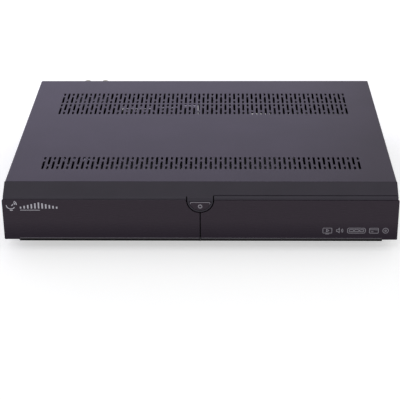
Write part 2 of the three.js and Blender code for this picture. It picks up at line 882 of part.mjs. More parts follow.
function frontBezel() {
  const brackets = hingeStations().map(({ bracket }) => hingeBracket(bracket));
  const tops = [slopeTop(-1), slopeTop(1), cheek(-1), cheek(1)];
  return cut(joined(...tops, bezelWalls(), windowFrame(), tongue(), ...brackets), ...bezelOpenings());
}

function panelHole(centre, level, width, height) {
  return block(about(centre, width + 2 * gap), throughFascia, about(level, height + 2 * gap));
}

// Power button: a half-moon cap with a stem that reaches the switch behind it
function powerButton() {
  const cap = prism(
    powerButtonShape(0, powerButtonRadius, powerButtonDrop),
    "y",
    [tongueSetback - powerButtonProud, tongueSetback + powerButtonDepth],
    12,
  );
  const stemSpan = [tongueSetback + powerButtonDepth / 2, keyEnd];
  return joined(cap, rod(powerStemRadius, "y", stemSpan, [0, -powerStemDrop]));
}

// Control button: a round cap with a flange that keeps it behind the fascia
function controlButton() {
  return joined(
    rod(keyRadius, "y", [fasciaFront - keyProud, fasciaBack + gap + keyFlangeDepth / 2], [0, 0]),
    rod(keyRadius + keyFlange, "y", [fasciaBack + gap, fasciaBack + gap + keyFlangeDepth], [0, 0], 6),
    rod(keyRadius / 2, "y", [fasciaBack + gap, keyEnd], [0, 0], 4),
  );
}

// Eject button: a square cap on a rod that runs back beside its slot
function ejectButton() {
  const capSpan = [fasciaFront - ejectProud, fasciaBack + gap + keyFlangeDepth];
  const rodSpan = [fasciaBack, fasciaBack + gap + moduleDepth / 2];
  return joined(
    block(about(0, ejectWidth), capSpan, about(0, ejectHeight)),
    block(about(0, ejectRodWidth), rodSpan, about(0, ejectRodWidth)),
  );
}

// Door: frame with its two hinge lugs, and the plate stuck on its face
function hingeLug(centre) {
  const axis = [hingeSetback, hingeLevel];
  const boreSpan = about(centre, hingeLugWidth + 2 * overrun);
  return cut(
    joined(
      rod(hingeKnuckleRadius, "x", about(centre, hingeLugWidth), axis),
      block(
        about(centre, hingeLugWidth),
        [frameBack - frameThickness / 2, hingeSetback],
        about(hingeLevel, 2 * hingeKnuckleRadius),
      ),
    ),
    rod(hingePinRadius + runningClearance, "x", boreSpan, axis),
  );
}

function doorFrame() {
  const notch = tongueCutter(tongueRadius + tongueGroove, [-overrun, frameBack + overrun]);
  return joined(cut(plateFrame(1), notch), ...hingeStations().map(({ lug }) => hingeLug(lug)));
}

// Hinge pin: reaches through one bracket and the lug beside it
function hingePin() {
  const reach = (hingeBracketWidth + hingeLugWidth + 3 * gap) / 2;
  return rod(hingePinRadius, "x", [-reach, reach], [0, 0]);
}

// Catch that holds the closed door, between the eject buttons and the cheek
function doorCatch() {
  const level = plateTop - catchHeight;
  return block(
    [ejectCentre + ejectWidth / 2 + gap, shoulderHalf - bezelWall - gap],
    [frameBack + gap, fasciaFront - gap],
    about(level, catchHeight),
  );
}

// Display tube, its evacuation tip at one end
function displayTube() {
  const level = floorLevel + displayRise;
  const front = frameBack + tubeSetback;
  const span = about(displayCentre, displayWidth + 2 * tubeMargin);
  const glass = block(span, [front, front + tubeDepth], about(level, displayHeight + 2 * tubeMargin));
  const tipSpan = [span[0] - tubeTipLength, span[0] + overrun];
  return joined(glass, rod(tubeTipRadius, "x", tipSpan, [front + tubeDepth / 2, level], 6));
}

// The eye for the remote control stands on the front board
function remoteEye(back) {
  const x = displayCentre + eyeOffset;
  const level = floorLevel + displayRise;
  const front = frontBoardFace - eyeDepth;
  return joined(
    block(about(x, eyeWidth), [front, back], about(level, eyeHeight)),
    rod(eyeLensRadius, "y", [front - eyeLensRadius / 2, back], [x, level], 6),
  );
}

function keySwitch([x, level], back) {
  const front = frontBoardFace - switchBodyDepth;
  return joined(
    block(about(x, switchSize), [front, back], about(level, switchSize)),
    rod(plungerRadius, "y", [front - plungerDepth, back], [x, level], 6),
  );
}

// Front board, with a key switch soldered under each control button and under the power button
function frontBoard() {
  const bottom = floorTop + frontBoardLift;
  const middle = frontBoardFace + boardThickness / 2;
  const plate = block(
    frontBoardSides,
    [frontBoardFace, frontBoardFace + boardThickness],
    [bottom, powerButtonLevel + frontBoardMargin],
  );
  const switchPlaces = [...Object.values(keyPlaces), [0, powerButtonLevel]];
  return joined(plate, remoteEye(middle), ...switchPlaces.map((place) => keySwitch(place, middle)));
}

// Access module slot: a flat cage open at the front, with a leg at each side
function moduleSlot(level, legTo) {
  const height = moduleHeight + 2 * gap;
  const front = fasciaBack + gap;
  const span = [front, front + moduleDepth];
  const cage = cut(
    block(about(moduleCentre, moduleOuter), span, about(level, height + 2 * moduleWall)),
    block(
      about(moduleCentre, moduleOuter - 2 * moduleWall),
      [front - overrun, span[1] - moduleWall],
      about(level, height),
    ),
  );
  const legTop = level - height / 2 - moduleWall / 2;
  const legs = [-1, 1].map((side) => {
    const x = moduleCentre + (side * (moduleOuter - moduleWall)) / 2;
    return block(about(x, moduleWall), [span[0] + (span[1] - span[0]) / 2, span[1]], [legTo, legTop]);
  });
  return joined(cage, ...legs);
}

function moduleSlotTop(level) {
  return level + moduleHeight / 2 + gap + moduleWall;
}

// Card reader: a thin box with the card slot cut into its front
function cardReader(level, legTo) {
  const height = cardHeight + 2 * gap;
  const front = fasciaBack + gap;
  const span = [front, front + cardDepth];
  const shell = cut(
    block(about(cardCentre, cardOuter), span, about(level, height + 2 * cardWall)),
    block(
      about(cardCentre, cardOuter - 2 * cardWall),
      [front - overrun, span[1] - cardWall],
      about(level, height),
    ),
  );
  const legTop = level - height / 2 - cardWall / 2;
  const legs = [-1, 1].map((side) => {
    const x = cardCentre + (side * (cardOuter - cardWall)) / 2;
    return block(about(x, cardWall), [(span[0] + span[1]) / 2, span[1]], [legTo, legTop]);
  });
  return joined(shell, ...legs);
}

const cardReaderTop = (level) => level + cardHeight / 2 + gap + cardWall;

// Boards lie level on their standoffs, and each carries a hole near every corner
function boardBetween([left, right], front, rear) {
  return { centre: (left + right) / 2, width: right - left, front, depth: rear - front };
}
const boards = {
  main: boardBetween(mainBoardShares.map(onRear), slotBoardRear + mainBoardGap, boardRear),
  slot: boardBetween(slotBoardSides, slotBoardFront, slotBoardRear),
  power: boardBetween(powerBoardShares.map(onRear), slotBoardRear + powerBoardGap, boardRear),
};

function boardCorners({ centre, width, depth, front }) {
  const across = width / 2 - boardHoleInset;
  const along = [front + boardHoleInset, front + depth - boardHoleInset];
  return along.flatMap((y) => [[centre - across, y], [centre + across, y]]);
}

function circuitBoard(board) {
  const sheetBody = block(
    about(board.centre, board.width),
    [board.front, board.front + board.depth],
    [boardUnderside, boardTop],
  );
  const through = [boardUnderside - overrun, boardTop + overrun];
  const holes = boardCorners(board).map((corner) => rod(boardScrewRadius, "z", through, corner, 6));
  return cut(sheetBody, ...holes);
}

const allCorners = () => Object.values(boards).flatMap(boardCorners);

// Hexagonal standoffs, pressed into the floor
function standoffs() {
  const span = [floorTop - sheet / 2, boardUnderside - gap];
  return allCorners().map((corner) =>
    cut(
      rod(standoffRadius, "z", span, corner, 3),
      rod(boardScrewRadius, "z", [floorTop + sheet, span[1] + overrun], corner, 4),
    ),
  );
}

// A point on a board from its shares across and back
function onBoard(board, [acrossShare, alongShare]) {
  return [board.centre + (acrossShare - 1 / 2) * board.width, board.front + alongShare * board.depth];
}

function cans(board, shares, radius, height, arcSteps) {
  const span = [boardMiddle, boardTop + height];
  return shares.map((share) => rod(radius, "z", span, onBoard(board, share), arcSteps));
}

// Main board with the processor, the chips and the capacitors soldered to it
function mainBoard() {
  const [px, py] = onBoard(boards.main, processorShares);
  const processor = block(
    about(px, processorWidth),
    about(py, processorWidth),
    [boardMiddle, boardTop + processorHeight],
  );
  const chipSpan = [boardMiddle, boardTop + chipHeight];
  const chips = chipShares.map(([acrossShare, alongShare, widthShare, depthShare]) => {
    const [x, y] = onBoard(boards.main, [acrossShare, alongShare]);
    return block(about(x, widthShare * chipUnit), about(y, depthShare * chipUnit), chipSpan);
  });
  return joined(
    circuitBoard(boards.main),
    processor,
    ...chips,
    ...cans(boards.main, canShares, canRadius, canHeight, 6),
  );
}

function heatSink() {
  const base = boardTop + processorHeight + gap;
  const [x, y] = onBoard(boards.main, processorShares);
  const plate = block(about(x, heatSinkWidth), about(y, heatSinkWidth), [base, base + heatSinkBase]);
  const pitch = (heatSinkWidth - finThickness) / (finCount - 1);
  const fins = Array.from({ length: finCount }, (_, index) =>
    block(
      about(x + (index - (finCount - 1) / 2) * pitch, finThickness),
      about(y, heatSinkWidth),
      [base + heatSinkBase / 2, base + heatSinkBase + finHeight],
    ),
  );
  return joined(plate, ...fins);
}

// Power supply
function transformer() {
  const [x, y] = onBoard(boards.power, transformerShares);
  const base = socketLevel;
  const winding = block(
    about(x, transformerWidth),
    about(y, transformerDepth - transformerCore),
    [base, base + transformerHeight],
  );
  const core = block(
    about(x, transformerWidth - transformerCore),
    about(y, transformerDepth),
    [base + transformerCore / 2, base + transformerHeight - transformerCore / 2],
  );
  return joined(winding, core);
}

// Power board with its small capacitors soldered to it
function powerBoard() {
  return joined(
    circuitBoard(boards.power),
    ...cans(boards.power, smallCanShares, smallCanRadius, smallCanHeight, 6),
  );
}

function powerCapacitor() {
  const base = socketLevel;
  return rod(mainCanRadius, "z", [base, base + mainCanHeight], onBoard(boards.power, mainCanShares), 10);
}

// Heat sink of the power supply: an upright plate with its top folded over
function powerHeatSink() {
  const base = socketLevel;
  const top = base + powerFinHeight;
  const [x, y] = onBoard(boards.power, powerFinShares);
  const across = about(x, powerFinWidth);
  return joined(
    block(across, about(y, powerFinThickness), [base, top]),
    block(across, [y, y + powerFinFold], [top - powerFinThickness, top]),
  );
}

// Tuner: a tall screened can, open underneath, against the rear panel, with an upper and a lower
// aerial socket
function tuner() {
  const rear = panelInside - gap;
  const front = rear - tunerDepth;
  const can = cut(
    block(about(0, tunerWidth), [front, rear], [socketLevel, tunerTop]),
    block(
      about(0, tunerWidth - 2 * tunerWall),
      [front + tunerWall, rear - tunerWall],
      [socketLevel - overrun, tunerTop - tunerWall],
    ),
  );
  const sockets = Object.values(aerialLevels).map((level) =>
    cut(
      rod(aerialRadius, "y", [rear - overrun, overallDepth], [0, level], 8),
      rod(aerialBoreRadius, "y", [overallDepth - aerialBoreDepth, overallDepth + overrun], [0, level], 4),
    ),
  );
  return joined(can, ...sockets);
}

function aerialNut() {
  return cut(
    rod(nutRadius, "y", [0, nutDepth], [0, 0], 3),
    rod(aerialRadius + gap, "y", [-overrun, nutDepth + overrun], [0, 0], 8),
  );
}

// Sockets on the main board: each is drawn about its own centre line and stands on the board
function socketBody({ x, width, height, depth }) {
  return block(about(x, width), [socketFace - depth, socketFace], [socketLevel, socketLevel + height]);
}

function socketMouth(socket, mouth, lift = 0) {
  const level = socketLevel + socket.height / 2 + lift;
  const along = [socketFace - mouth.depth, socketFace + overrun];
  return block(about(socket.x, mouth.width), along, about(level, mouth.height));
}

function networkJack() {
  const latch = {
    width: networkLatch.width,
    height: networkLatch.height + overrun,
    depth: networkMouth.depth,
  };
  return cut(
    socketBody(networkSocket),
    socketMouth(networkSocket, networkMouth, -networkLatch.height / 2),
    socketMouth(networkSocket, latch, networkLatch.lift + overrun),
  );
}

// A data socket has one mouth and one contact tongue for each port
function dataMouth(x, level, rear, direction) {
  const far = rear - direction * dataPort.depth;
  const open = rear + direction * overrun;
  const tongueNear = rear - direction * dataPort.lift;
  const mouth = block(about(x, dataPort.width), ordered(far, open), about(level, dataPort.height));
  const tongueBody = block(
    about(x, dataPort.tongueWidth),
    ordered(far, tongueNear),
    about(level + dataPort.lift / 2, dataPort.tongueHeight),
  );
  return mouth.subtract(tongueBody);
}

function rearDataJack() {
  const levels = about(socketLevel + rearDataSocket.height / 2, rearDataSocket.pitch);
  const mouths = levels.map((level) => dataMouth(rearDataSocket.x, level, socketFace, 1));
  return cut(socketBody(rearDataSocket), ...mouths);
}

function frontDataJack() {
  const front = fasciaBack + gap;
  const body = block(
    about(cardCentre, rearDataSocket.width),
    [front, front + rearDataSocket.depth],
    [socketLevel, socketLevel + rearDataSocket.pitch],
  );
  return cut(body, dataMouth(cardCentre, frontPortLevel, front, -1));
}

function diskJack() {
  const contact = block(
    about(diskSocket.x, diskMouth.width - diskMouth.height),
    [socketFace - diskMouth.depth, socketFace - diskMouth.contactHeight],
    about(socketLevel + diskSocket.height / 2, diskMouth.contactHeight),
  );
  return cut(socketBody(diskSocket), socketMouth(diskSocket, diskMouth).subtract(contact));
}

function videoJack() {
  const middle = socketLevel + videoSocket.height / 2;
  const [left, right] = about(videoSocket.x, videoMouth.width);
  const [bottom, top] = about(middle, videoMouth.height);
  const mouthShape = outline([
    [left, top],
    [left, middle],
    [left + videoMouth.taper, bottom],
    [right - videoMouth.taper, bottom],
    [right, middle],
    [right, top],
  ]);
  const mouthFront = socketFace - videoMouth.depth;
  const mouth = prism(mouthShape, "y", [mouthFront, socketFace + overrun]);
  const contactWidth = about(videoSocket.x, videoTongue.width);
  const contact = block(contactWidth, [mouthFront, socketFace], about(middle, videoTongue.height));
  return cut(socketBody(videoSocket), mouth.subtract(contact));
}

const opticalJack = () => cut(socketBody(opticalSocket), socketMouth(opticalSocket, opticalMouth));

// Serial socket: a slanted shell round two rows of pins, between two hexagonal nuts
function slantedShape(x, middle, width, height) {
  const slant = height * serialShell.slantShare;
  return outline([
    [x - width / 2, middle + height / 2],
    [x - width / 2 + slant, middle - height / 2],
    [x + width / 2 - slant, middle - height / 2],
    [x + width / 2, middle + height / 2],
  ]);
}

function serialPinRow(count, level) {
  const span = [socketFace - overrun, socketFace + serialShell.reach - overrun];
  return Array.from({ length: count }, (_, index) => {
    const x = serialSocket.x + (index - (count - 1) / 2) * serialPins.pitch;
    return rod(serialPins.radius, "y", span, [x, level], 3);
  });
}

function serialJack() {
  const { x, height } = serialSocket;
  const { width, height: rim, reach, wall } = serialShell;
  const middle = socketLevel + height / 2;
  const inside = slantedShape(x, middle, width - 2 * wall, rim - 2 * wall);
  const shell = cut(
    prism(slantedShape(x, middle, width, rim), "y", [socketFace - overrun, socketFace + reach]),
    prism(inside, "y", [socketFace, socketFace + reach + overrun]),
  );
  const nutSpan = [socketFace - overrun, socketFace + serialNut.reach];
  const nut = (nutX) => rod(serialNut.radius, "y", nutSpan, [nutX, middle], 3);
  return joined(
    socketBody(serialSocket),
    shell,
    ...serialPinRow(serialPins.upper, middle + serialPins.rowPitch / 2),
    ...serialPinRow(serialPins.lower, middle - serialPins.rowPitch / 2),
    ...about(x, serialNut.spacing).map(nut),
  );
}

// A row of three jacks in one body
function jackRow(level) {
  const middle = level + jackBodyHeight / 2;
  const inside = panelInside - gap;
  const body = block(
    about(jackCentre, jackCount * jackPitch),
    [inside - jackBodyDepth, inside],
    [level, level + jackBodyHeight],
  );
  const rear = panelFace + jackReach;
  const boreSpan = [rear - jackBoreDepth, rear + overrun];
  const rings = jackPlaces().map((x) => rod(jackRadius, "y", [inside - overrun, rear], [x, middle], 8));
  const bores = jackPlaces().map((x) => rod(jackBoreRadius, "y", boreSpan, [x, middle], 4));
  return cut(joined(body, ...rings), ...bores);
}

// Mains inlet: flange outside the panel, body inside, three blades in the mouth
function mainsInlet() {
  const level = floorLevel + inletRise;
  const flangeRear = panelFace + gap + inletFlangeDepth;
  const flange = block(
    about(inletCentre, inletWidth + 2 * inletFlange),
    [panelFace + gap, flangeRear],
    about(level, inletHeight + 2 * inletFlange),
  );
  const body = block(
    about(inletCentre, inletWidth),
    [flangeRear - inletDepth, panelFace + gap + overrun],
    about(level, inletHeight),
  );
  const [left, right] = about(inletCentre, inletMouthWidth);
  const [bottom, top] = about(level, inletMouthHeight);
  const mouthFront = flangeRear - inletMouthDepth;
  const mouth = prism(
    outline([
      [left, bottom],
      [right, bottom],
      [right, top - inletCorner],
      [right - inletCorner, top],
      [left + inletCorner, top],
      [left, top - inletCorner],
    ]),
    "y",
    [mouthFront, flangeRear + overrun],
  );
  const blade = (x, bladeLevel) =>
    block(
      about(x, inletPinWidth),
      [mouthFront - overrun, flangeRear - inletPinRecess],
      about(bladeLevel, inletPinHeight),
    );
  const blades = [
    ...about(inletCentre, inletPinSpacing).map((x) => blade(x, level - inletPinOffset / 2)),
    blade(inletCentre, level + inletPinOffset / 2),
  ];
  return joined(cut(joined(flange, body), mouth), ...blades);
}

// Mains switch: a framed box, and a rocker that tilts on an upright axis inside it
function mainsSwitchBody() {
  const level = floorLevel + inletRise;
  const flangeRear = panelFace + gap + rockerFlangeDepth;
  return cut(
    joined(
      block(
        about(switchCentre, rockerBoxWidth + 2 * rockerFlange),
        [panelFace + gap, flangeRear],
        about(level, rockerBoxHeight + 2 * rockerFlange),
      ),
      block(
        about(switchCentre, rockerBoxWidth),
        [flangeRear - rockerBoxDepth, panelFace + gap + overrun],
        about(level, rockerBoxHeight),
      ),
    ),
    block(
      about(switchCentre, rockerMouthWidth),
      [flangeRear - rockerMouthDepth, flangeRear + overrun],
      about(level, rockerMouthHeight),
    ),
  );
}

function mainsSwitchRocker() {
  const profile = new THREE.Shape();
  profile.moveTo(-rockerHalfLength, rockerEnd);
  profile.lineTo(-rockerHalfLength, rockerSkirt);
  profile.lineTo(-rockerHub, -rockerSkirt);
  profile.absarc(0, 0, rockerHub, Math.PI, 2 * Math.PI);
  profile.lineTo(rockerHalfLength, rockerSkirt);
  profile.lineTo(rockerHalfLength, rockerEnd);
  profile.lineTo(0, rockerMiddle);
  return prism(profile, "z", about(0, rockerMouthHeight - 2 * gap), 6);
}

// Disk bracket: a folded tray on four legs, with the drive's screw holes in its sides
function diskBracket() {
  const [left, right] = about(bracketCentre, bracketOuter);
  const span = [bracketSetback, boards.main.front - bracketRearGap];
  const top = bracketFloor + sheet + bracketFlange;
  const tray = joined(
    block([left, right], span, [bracketFloor, bracketFloor + sheet]),
    block([left, left + sheet], span, [bracketFloor, top]),
    block([right - sheet, right], span, [bracketFloor, top]),
  );
  const legs = [];
  for (const x of [left, right - sheet])
    for (const y of [span[0], span[1] - bracketLegWidth])
      legs.push(block([x, x + sheet], [y, y + bracketLegWidth], [floorTop + gap, bracketFloor + sheet]));
  const holes = [span[0] + bracketHoleInset, span[1] - bracketHoleInset].map((y) =>
    rod(bracketHoleRadius, "x", [left - overrun, right + overrun], [y, (bracketFloor + top) / 2], 6),
  );
  return cut(joined(tray, ...legs), ...holes);
}

// Flat inner cables: a smooth line of the given thickness, extruded to the cable's width
function band(points, thickness, steps) {
  const line = new THREE.SplineCurve(points.map(([across, up]) => new THREE.Vector2(across, up)));
  const sides = [-1, 1].map((side) =>
    Array.from({ length: steps + 1 }, (_, index) => {
      const at = line.getPointAt(index / steps);
      const along = line.getTangentAt(index / steps);
      const outward = new THREE.Vector2(-along.y, along.x);
      return at.addScaledVector(outward, (side * thickness) / 2);
    }),
  );
  return new THREE.Shape([...sides[0], ...sides[1].reverse()]);
}

function frontRibbon() {
  const start = frontBoardFace + boardThickness + gap;
  const high = keyLevel;
  const low = socketLevel + ribbonThickness;
  const end = boards.main.front + ribbonBend;
  const path = [
    [start, high],
    [start + ribbonBend, high],
    [start + 2 * ribbonBend, low + ribbonArch],
    [(start + end) / 2, low + ribbonArch / 2],
    [end - 2 * ribbonBend, low + ribbonArch / 2],
    [end, low],
  ];
  return prism(band(path, ribbonThickness, 20), "x", about(ribbonCentre, ribbonWidth));
}

function powerLead() {
  const left = boards.main.centre + boards.main.width / 2 - leadWidth;
  const right = boards.power.centre - boards.power.width / 2 + leadWidth / 2;
  const low = socketLevel + leadThickness;
  const path = [
    [left, low],
    [left + leadThickness, low + leadArch],
    [(left + right) / 2, low + 2 * leadArch],
    [right - leadThickness, low + leadArch],
    [right, low],
  ];
  const centre = boards.main.front + leadShare * boards.main.depth;
  return prism(band(path, leadThickness, 16), "y", about(centre, leadWidth));
}

// Casing
piece("top_cover", topCover(), "paintedSteel");
piece("base_chassis", baseChassis(), "zincSteel");
piece("rear_panel", rearPanel(), "paintedSteel");
feet();
coverScrews();

// Front
piece("front_bezel", frontBezel(), "darkMoulding");
piece("display_window", skin(-1), "smokedPlate");
piece("display_tube", displayTube(), "displayGlass");
piece("front_board", frontBoard(), "board");
piece("power_button", powerButton(), "darkMoulding", [0, 0, plateTop]);
for (const [name, [x, level]] of Object.entries(keyPlaces))
  piece(name, controlButton(), "blackPlastic", [x, 0, level]);
piece("door_frame", doorFrame(), "darkMoulding");
piece("door_skin", skin(1), "smokedPlate");
hingeStations().forEach(({ bracket, lug }, index) =>
  piece(`door_hinge_pin_${index ? "right" : "left"}`, hingePin(), "brightSteel",
    [(bracket + lug) / 2, hingeSetback, hingeLevel]));
piece("door_catch", doorCatch(), "blackPlastic");

// Slots behind the door
piece("slot_board", circuitBoard(boards.slot), "board");
const slotFeet = { lower: socketLevel, upper: moduleSlotTop(moduleLevels.lower) + gap };
for (const [place, level] of Object.entries(moduleLevels))
  piece(`module_slot_${place}`, moduleSlot(level, slotFeet[place]), "brightSteel");
const readerFeet = { lower: socketLevel, upper: cardReaderTop(cardLevels.lower) + gap };
for (const [place, level] of Object.entries(cardLevels))
  piece(`card_reader_${place}`, cardReader(level, readerFeet[place]), "blackPlastic");
piece("front_data_socket", frontDataJack(), "brightSteel");
for (const [place, level] of Object.entries(moduleLevels))
  piece(`eject_button_${place}`, ejectButton(), "blackPlastic", [ejectCentre, 0, level]);

// Main board
piece("main_board", mainBoard(), "board");
piece("processor_heat_sink", heatSink(), "aluminium");
for (const [index, x] of tunerCentres().entries()) {
  const side = index ? "right" : "left";
  piece(`tuner_${side}`, tuner(), "brightSteel", [x, 0, 0]);
  for (const [place, level] of Object.entries(aerialLevels))
    piece(`aerial_nut_${side}_${place}`, aerialNut(), "brightSteel", [x, panelFace + gap, level]);
}
piece("serial_socket", serialJack(), "brightSteel");
piece("network_socket", networkJack(), "brightSteel");
piece("rear_data_socket", rearDataJack(), "brightSteel");
piece("disk_data_socket", diskJack(), "blackPlastic");
piece("video_socket", videoJack(), "brightSteel");
piece("optical_socket", opticalJack(), "blackPlastic");
piece("component_jacks", jackRow(jackLevels()[1]), "blackPlastic");
piece("sound_jacks", jackRow(jackLevels()[0]), "blackPlastic");

// Power supply
piece("power_board", powerBoard(), "board");
piece("power_transformer", transformer(), "blackPlastic");
piece("power_capacitor", powerCapacitor(), "blackPlastic");
piece("power_heat_sink", powerHeatSink(), "aluminium");
piece("mains_inlet", mainsInlet(), "blackPlastic");
piece("mains_switch_body", mainsSwitchBody(), "blackPlastic");
const rocker = piece("mains_switch_rocker", mainsSwitchRocker(), "blackPlastic",
  [switchCentre, rockerAxis, floorLevel + inletRise]);
rocker.rotation.z = -THREE.MathUtils.degToRad(rockerTilt);

// Inside fittings
piece("disk_bracket", diskBracket(), "zincSteel");
piece("front_ribbon", frontRibbon(), "whitePlastic");
piece("power_lead", powerLead(), "whitePlastic");

export default receiver;
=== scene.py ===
import json
import math

import bmesh
import bpy
import numpy as np
from bpy.props import FloatProperty, FloatVectorProperty, IntProperty, PointerProperty
from mathutils import Matrix, Vector
from mathutils.geometry import delaunay_2d_cdt

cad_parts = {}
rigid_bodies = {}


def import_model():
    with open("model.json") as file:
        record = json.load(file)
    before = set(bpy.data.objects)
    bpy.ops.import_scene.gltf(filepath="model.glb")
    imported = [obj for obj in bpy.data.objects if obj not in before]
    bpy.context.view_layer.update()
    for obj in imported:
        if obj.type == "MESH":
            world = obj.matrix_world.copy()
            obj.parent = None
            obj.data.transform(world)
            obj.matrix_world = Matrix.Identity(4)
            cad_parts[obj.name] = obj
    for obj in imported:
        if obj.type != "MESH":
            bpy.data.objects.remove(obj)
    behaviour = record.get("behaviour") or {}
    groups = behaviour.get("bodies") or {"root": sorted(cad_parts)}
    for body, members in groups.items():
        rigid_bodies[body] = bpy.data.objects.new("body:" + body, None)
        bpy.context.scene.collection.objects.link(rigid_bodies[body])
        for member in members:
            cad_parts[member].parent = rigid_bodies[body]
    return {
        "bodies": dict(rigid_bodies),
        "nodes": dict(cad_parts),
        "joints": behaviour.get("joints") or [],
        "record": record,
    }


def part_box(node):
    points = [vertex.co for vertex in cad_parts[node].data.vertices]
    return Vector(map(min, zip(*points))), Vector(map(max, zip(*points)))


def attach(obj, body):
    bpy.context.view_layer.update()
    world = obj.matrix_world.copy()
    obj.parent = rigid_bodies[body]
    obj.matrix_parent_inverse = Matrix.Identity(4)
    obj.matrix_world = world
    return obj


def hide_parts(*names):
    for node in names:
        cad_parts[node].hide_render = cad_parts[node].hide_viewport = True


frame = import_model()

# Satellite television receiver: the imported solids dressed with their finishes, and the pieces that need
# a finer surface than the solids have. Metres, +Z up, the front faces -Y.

bl_info = {
    "name": "Satellite receiver",
    "version": (1, 0, 0),
    "blender": (4, 5, 0),
    "location": "View3D > Sidebar > Receiver",
    "description": "Dresses a satellite television receiver and sets its studio",
    "category": "Object",
}

MM = 0.001
SMOOTH_ANGLE = math.radians(35)
MERGE_DISTANCE = 1e-6


def box_of(node):
    """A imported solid's lowest and highest corners as arrays."""
    return tuple(np.array(corner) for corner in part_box(node))


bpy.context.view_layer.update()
COVER_LOW, COVER_HIGH = box_of("top_cover")
PLATE_LOW, PLATE_HIGH = box_of("display_window")
PANEL_REAR = box_of("rear_panel")[1][1]
PANEL_FRONT = PANEL_REAR - 1.3 * MM
BOARD_SHEET = 1.6 * MM
KEY_DEPTH = 5.3 * MM
CORNERS = [(end, side) for end in ("front", "rear") for side in ("left", "right")]


# Colours and properties

def linear(code):
    """A colour's sRGB hex value as linear red, green, blue and alpha."""
    shares = [int(code[i:i + 2], 16) / 255 for i in (1, 3, 5)]
    return tuple(s / 12.92 if s <= 0.04045 else ((s + 0.055) / 1.055) ** 2.4 for s in shares) + (1.0,)


def length(name, description, millimetres):
    return FloatProperty(name=name, description=description, default=millimetres * MM, unit="LENGTH",
                         subtype="DISTANCE", precision=5)


def rotation(name, description, degrees):
    return FloatProperty(name=name, description=description, default=math.radians(degrees), unit="ROTATION",
                         subtype="ANGLE")


def number(name, description, value):
    return FloatProperty(name=name, description=description, default=value, min=0)


def colour(name, description, code):
    return FloatVectorProperty(name=name, description=description, default=linear(code), size=4,
                               subtype="COLOR", min=0, max=1)


class CoverSizes(bpy.types.PropertyGroup):
    sheet: length("Sheet", "Thickness of the cover's steel sheet", 0.7)
    bend: length("Bend", "Outer radius of the folds at both sides", 1.5)
    edge: length("Edge", "Rounding of the sheet's cut edges under its paint", 0.25)
    vent_columns: IntProperty(name="Vent columns", description="Columns of vents in each band", default=65)
    vent_pitch: length("Vent pitch", "Distance from one column to the next", 4.37)
    vent_width: length("Vent width", "Width of a slot and of a dot", 1.9)
    slot_length: length("Slot length", "Length of the long vent of a column", 16.3)
    dot_length: length("Dot length", "Length of the short vent of a column", 5.7)
    vent_web: length("Web", "Metal left between the two vents of a column", 3.7)
    front_band: length("Front band", "Middle of the front band, back from the cover's front edge", 38.7)
    rear_bands: length("Rear bands", "Middle of the two rear bands, from the same edge", 181.2)
    band_spacing: length("Band spacing", "Distance between the two rear bands", 29)
    screw_clearance: length("Screw clearance", "Gap round the head of a cover screw", 0.3)


class FrontSizes(bpy.types.PropertyGroup):
    seam: length("Seam", "Gap between the two front plates", 0.8)
    window_lift: length("Window lift", "How much higher the window's top is than the door's", 0.25)
    notch: length("Notch", "Radius of the quarter notch that each plate leaves round the tongue", 11.95)
    corner: length("Corner", "Rounding of a plate's outer corners", 0.8)
    edge: length("Edge", "Rounding along the front edge of a plate", 0.4)
    seal_inset: length("Seal inset", "How far the seals' outer ends stay back from the plates' edges", 13)
    print_recess: length("Print recess", "How far a plate's face lies behind its print", 0.03)
    button_radius: length("Button radius", "Radius of the half-moon power button", 9.5)
    button_drop: length("Button drop", "Its level edge below the centre of its arc", 1.25)
    button_edge: length("Button edge", "Rounding of the button's rim", 0.35)
    mark_radius: length("Mark radius", "Radius of the power mark's ring", 1.5)
    line: length("Line", "Width of the thin printed lines", 0.45)
    heavy_line: length("Heavy line", "Width of the heavy printed lines", 0.75)
    window_print_left: length("Window print", "First pictogram of the window, across", -161.5)
    window_print_level: length("Window print level", "Its middle above the table", 43.6)
    door_print_left: length("Door print", "First pictogram of the door, across", 109.5)
    door_print_level: length("Door print level", "Its middle above the table", 20.6)


class BoardSizes(bpy.types.PropertyGroup):
    screw_inset: length("Screw inset", "Board screws from the board's edges", 5)
    chip_unit: length("Chip unit", "Side that the chips' sizes are counted in", 11)
    chip_height: length("Chip height", "Height of the chips", 1.4)


class RearSizes(bpy.types.PropertyGroup):
    barrel_radius: length("Barrel", "Radius of the aerial barrels over their thread", 4.75)
    thread_pitch: length("Thread pitch", "Distance between the crests of the thread", 0.79)
    thread_depth: length("Thread depth", "Depth of the thread", 0.4)
    jack_radius: length("Jack", "Radius of a jack's sleeve", 4.15)
    jack_pitch: length("Jack pitch", "Distance between the jacks of a row", 14)


class FinishColours(bpy.types.PropertyGroup):
    coat: colour("Powder coat", "Cover and rear panel", "#362f3c")
    moulding: colour("Moulding", "Sloping top, tongue and door frame", "#332f38")
    # The plates' foot and top colours: painted shade, darker towards the foot
    plate: colour("Plate", "Foot of the smoked front plates", "#221826")
    plate_top: colour("Plate top", "Upper edge of the plates", "#352c36")
    white_ink: colour("White ink", "Pictograms on the window, and marks on the keys", "#c9c6cf")
    # Grey ink is print on the door and the power mark, and painted highlight in the hairlines and the
    # button's line
    grey_ink: colour("Grey ink", "Pictograms on the door, the power mark and the hairlines", "#98949d")
    # The black ink bands are painted shade along the plates' foot
    black_ink: colour("Black ink", "Bands along the foot of the plates", "#0b0a0c")
    black: colour("Black plastic", "Sockets, switches and keys", "#1c1b1d")
    rubber: colour("Rubber", "Feet", "#1f1e20")
    # The mask's green is darkened: painted shade for the inside of the case
    mask: colour("Solder mask", "Circuit boards", "#14211a")


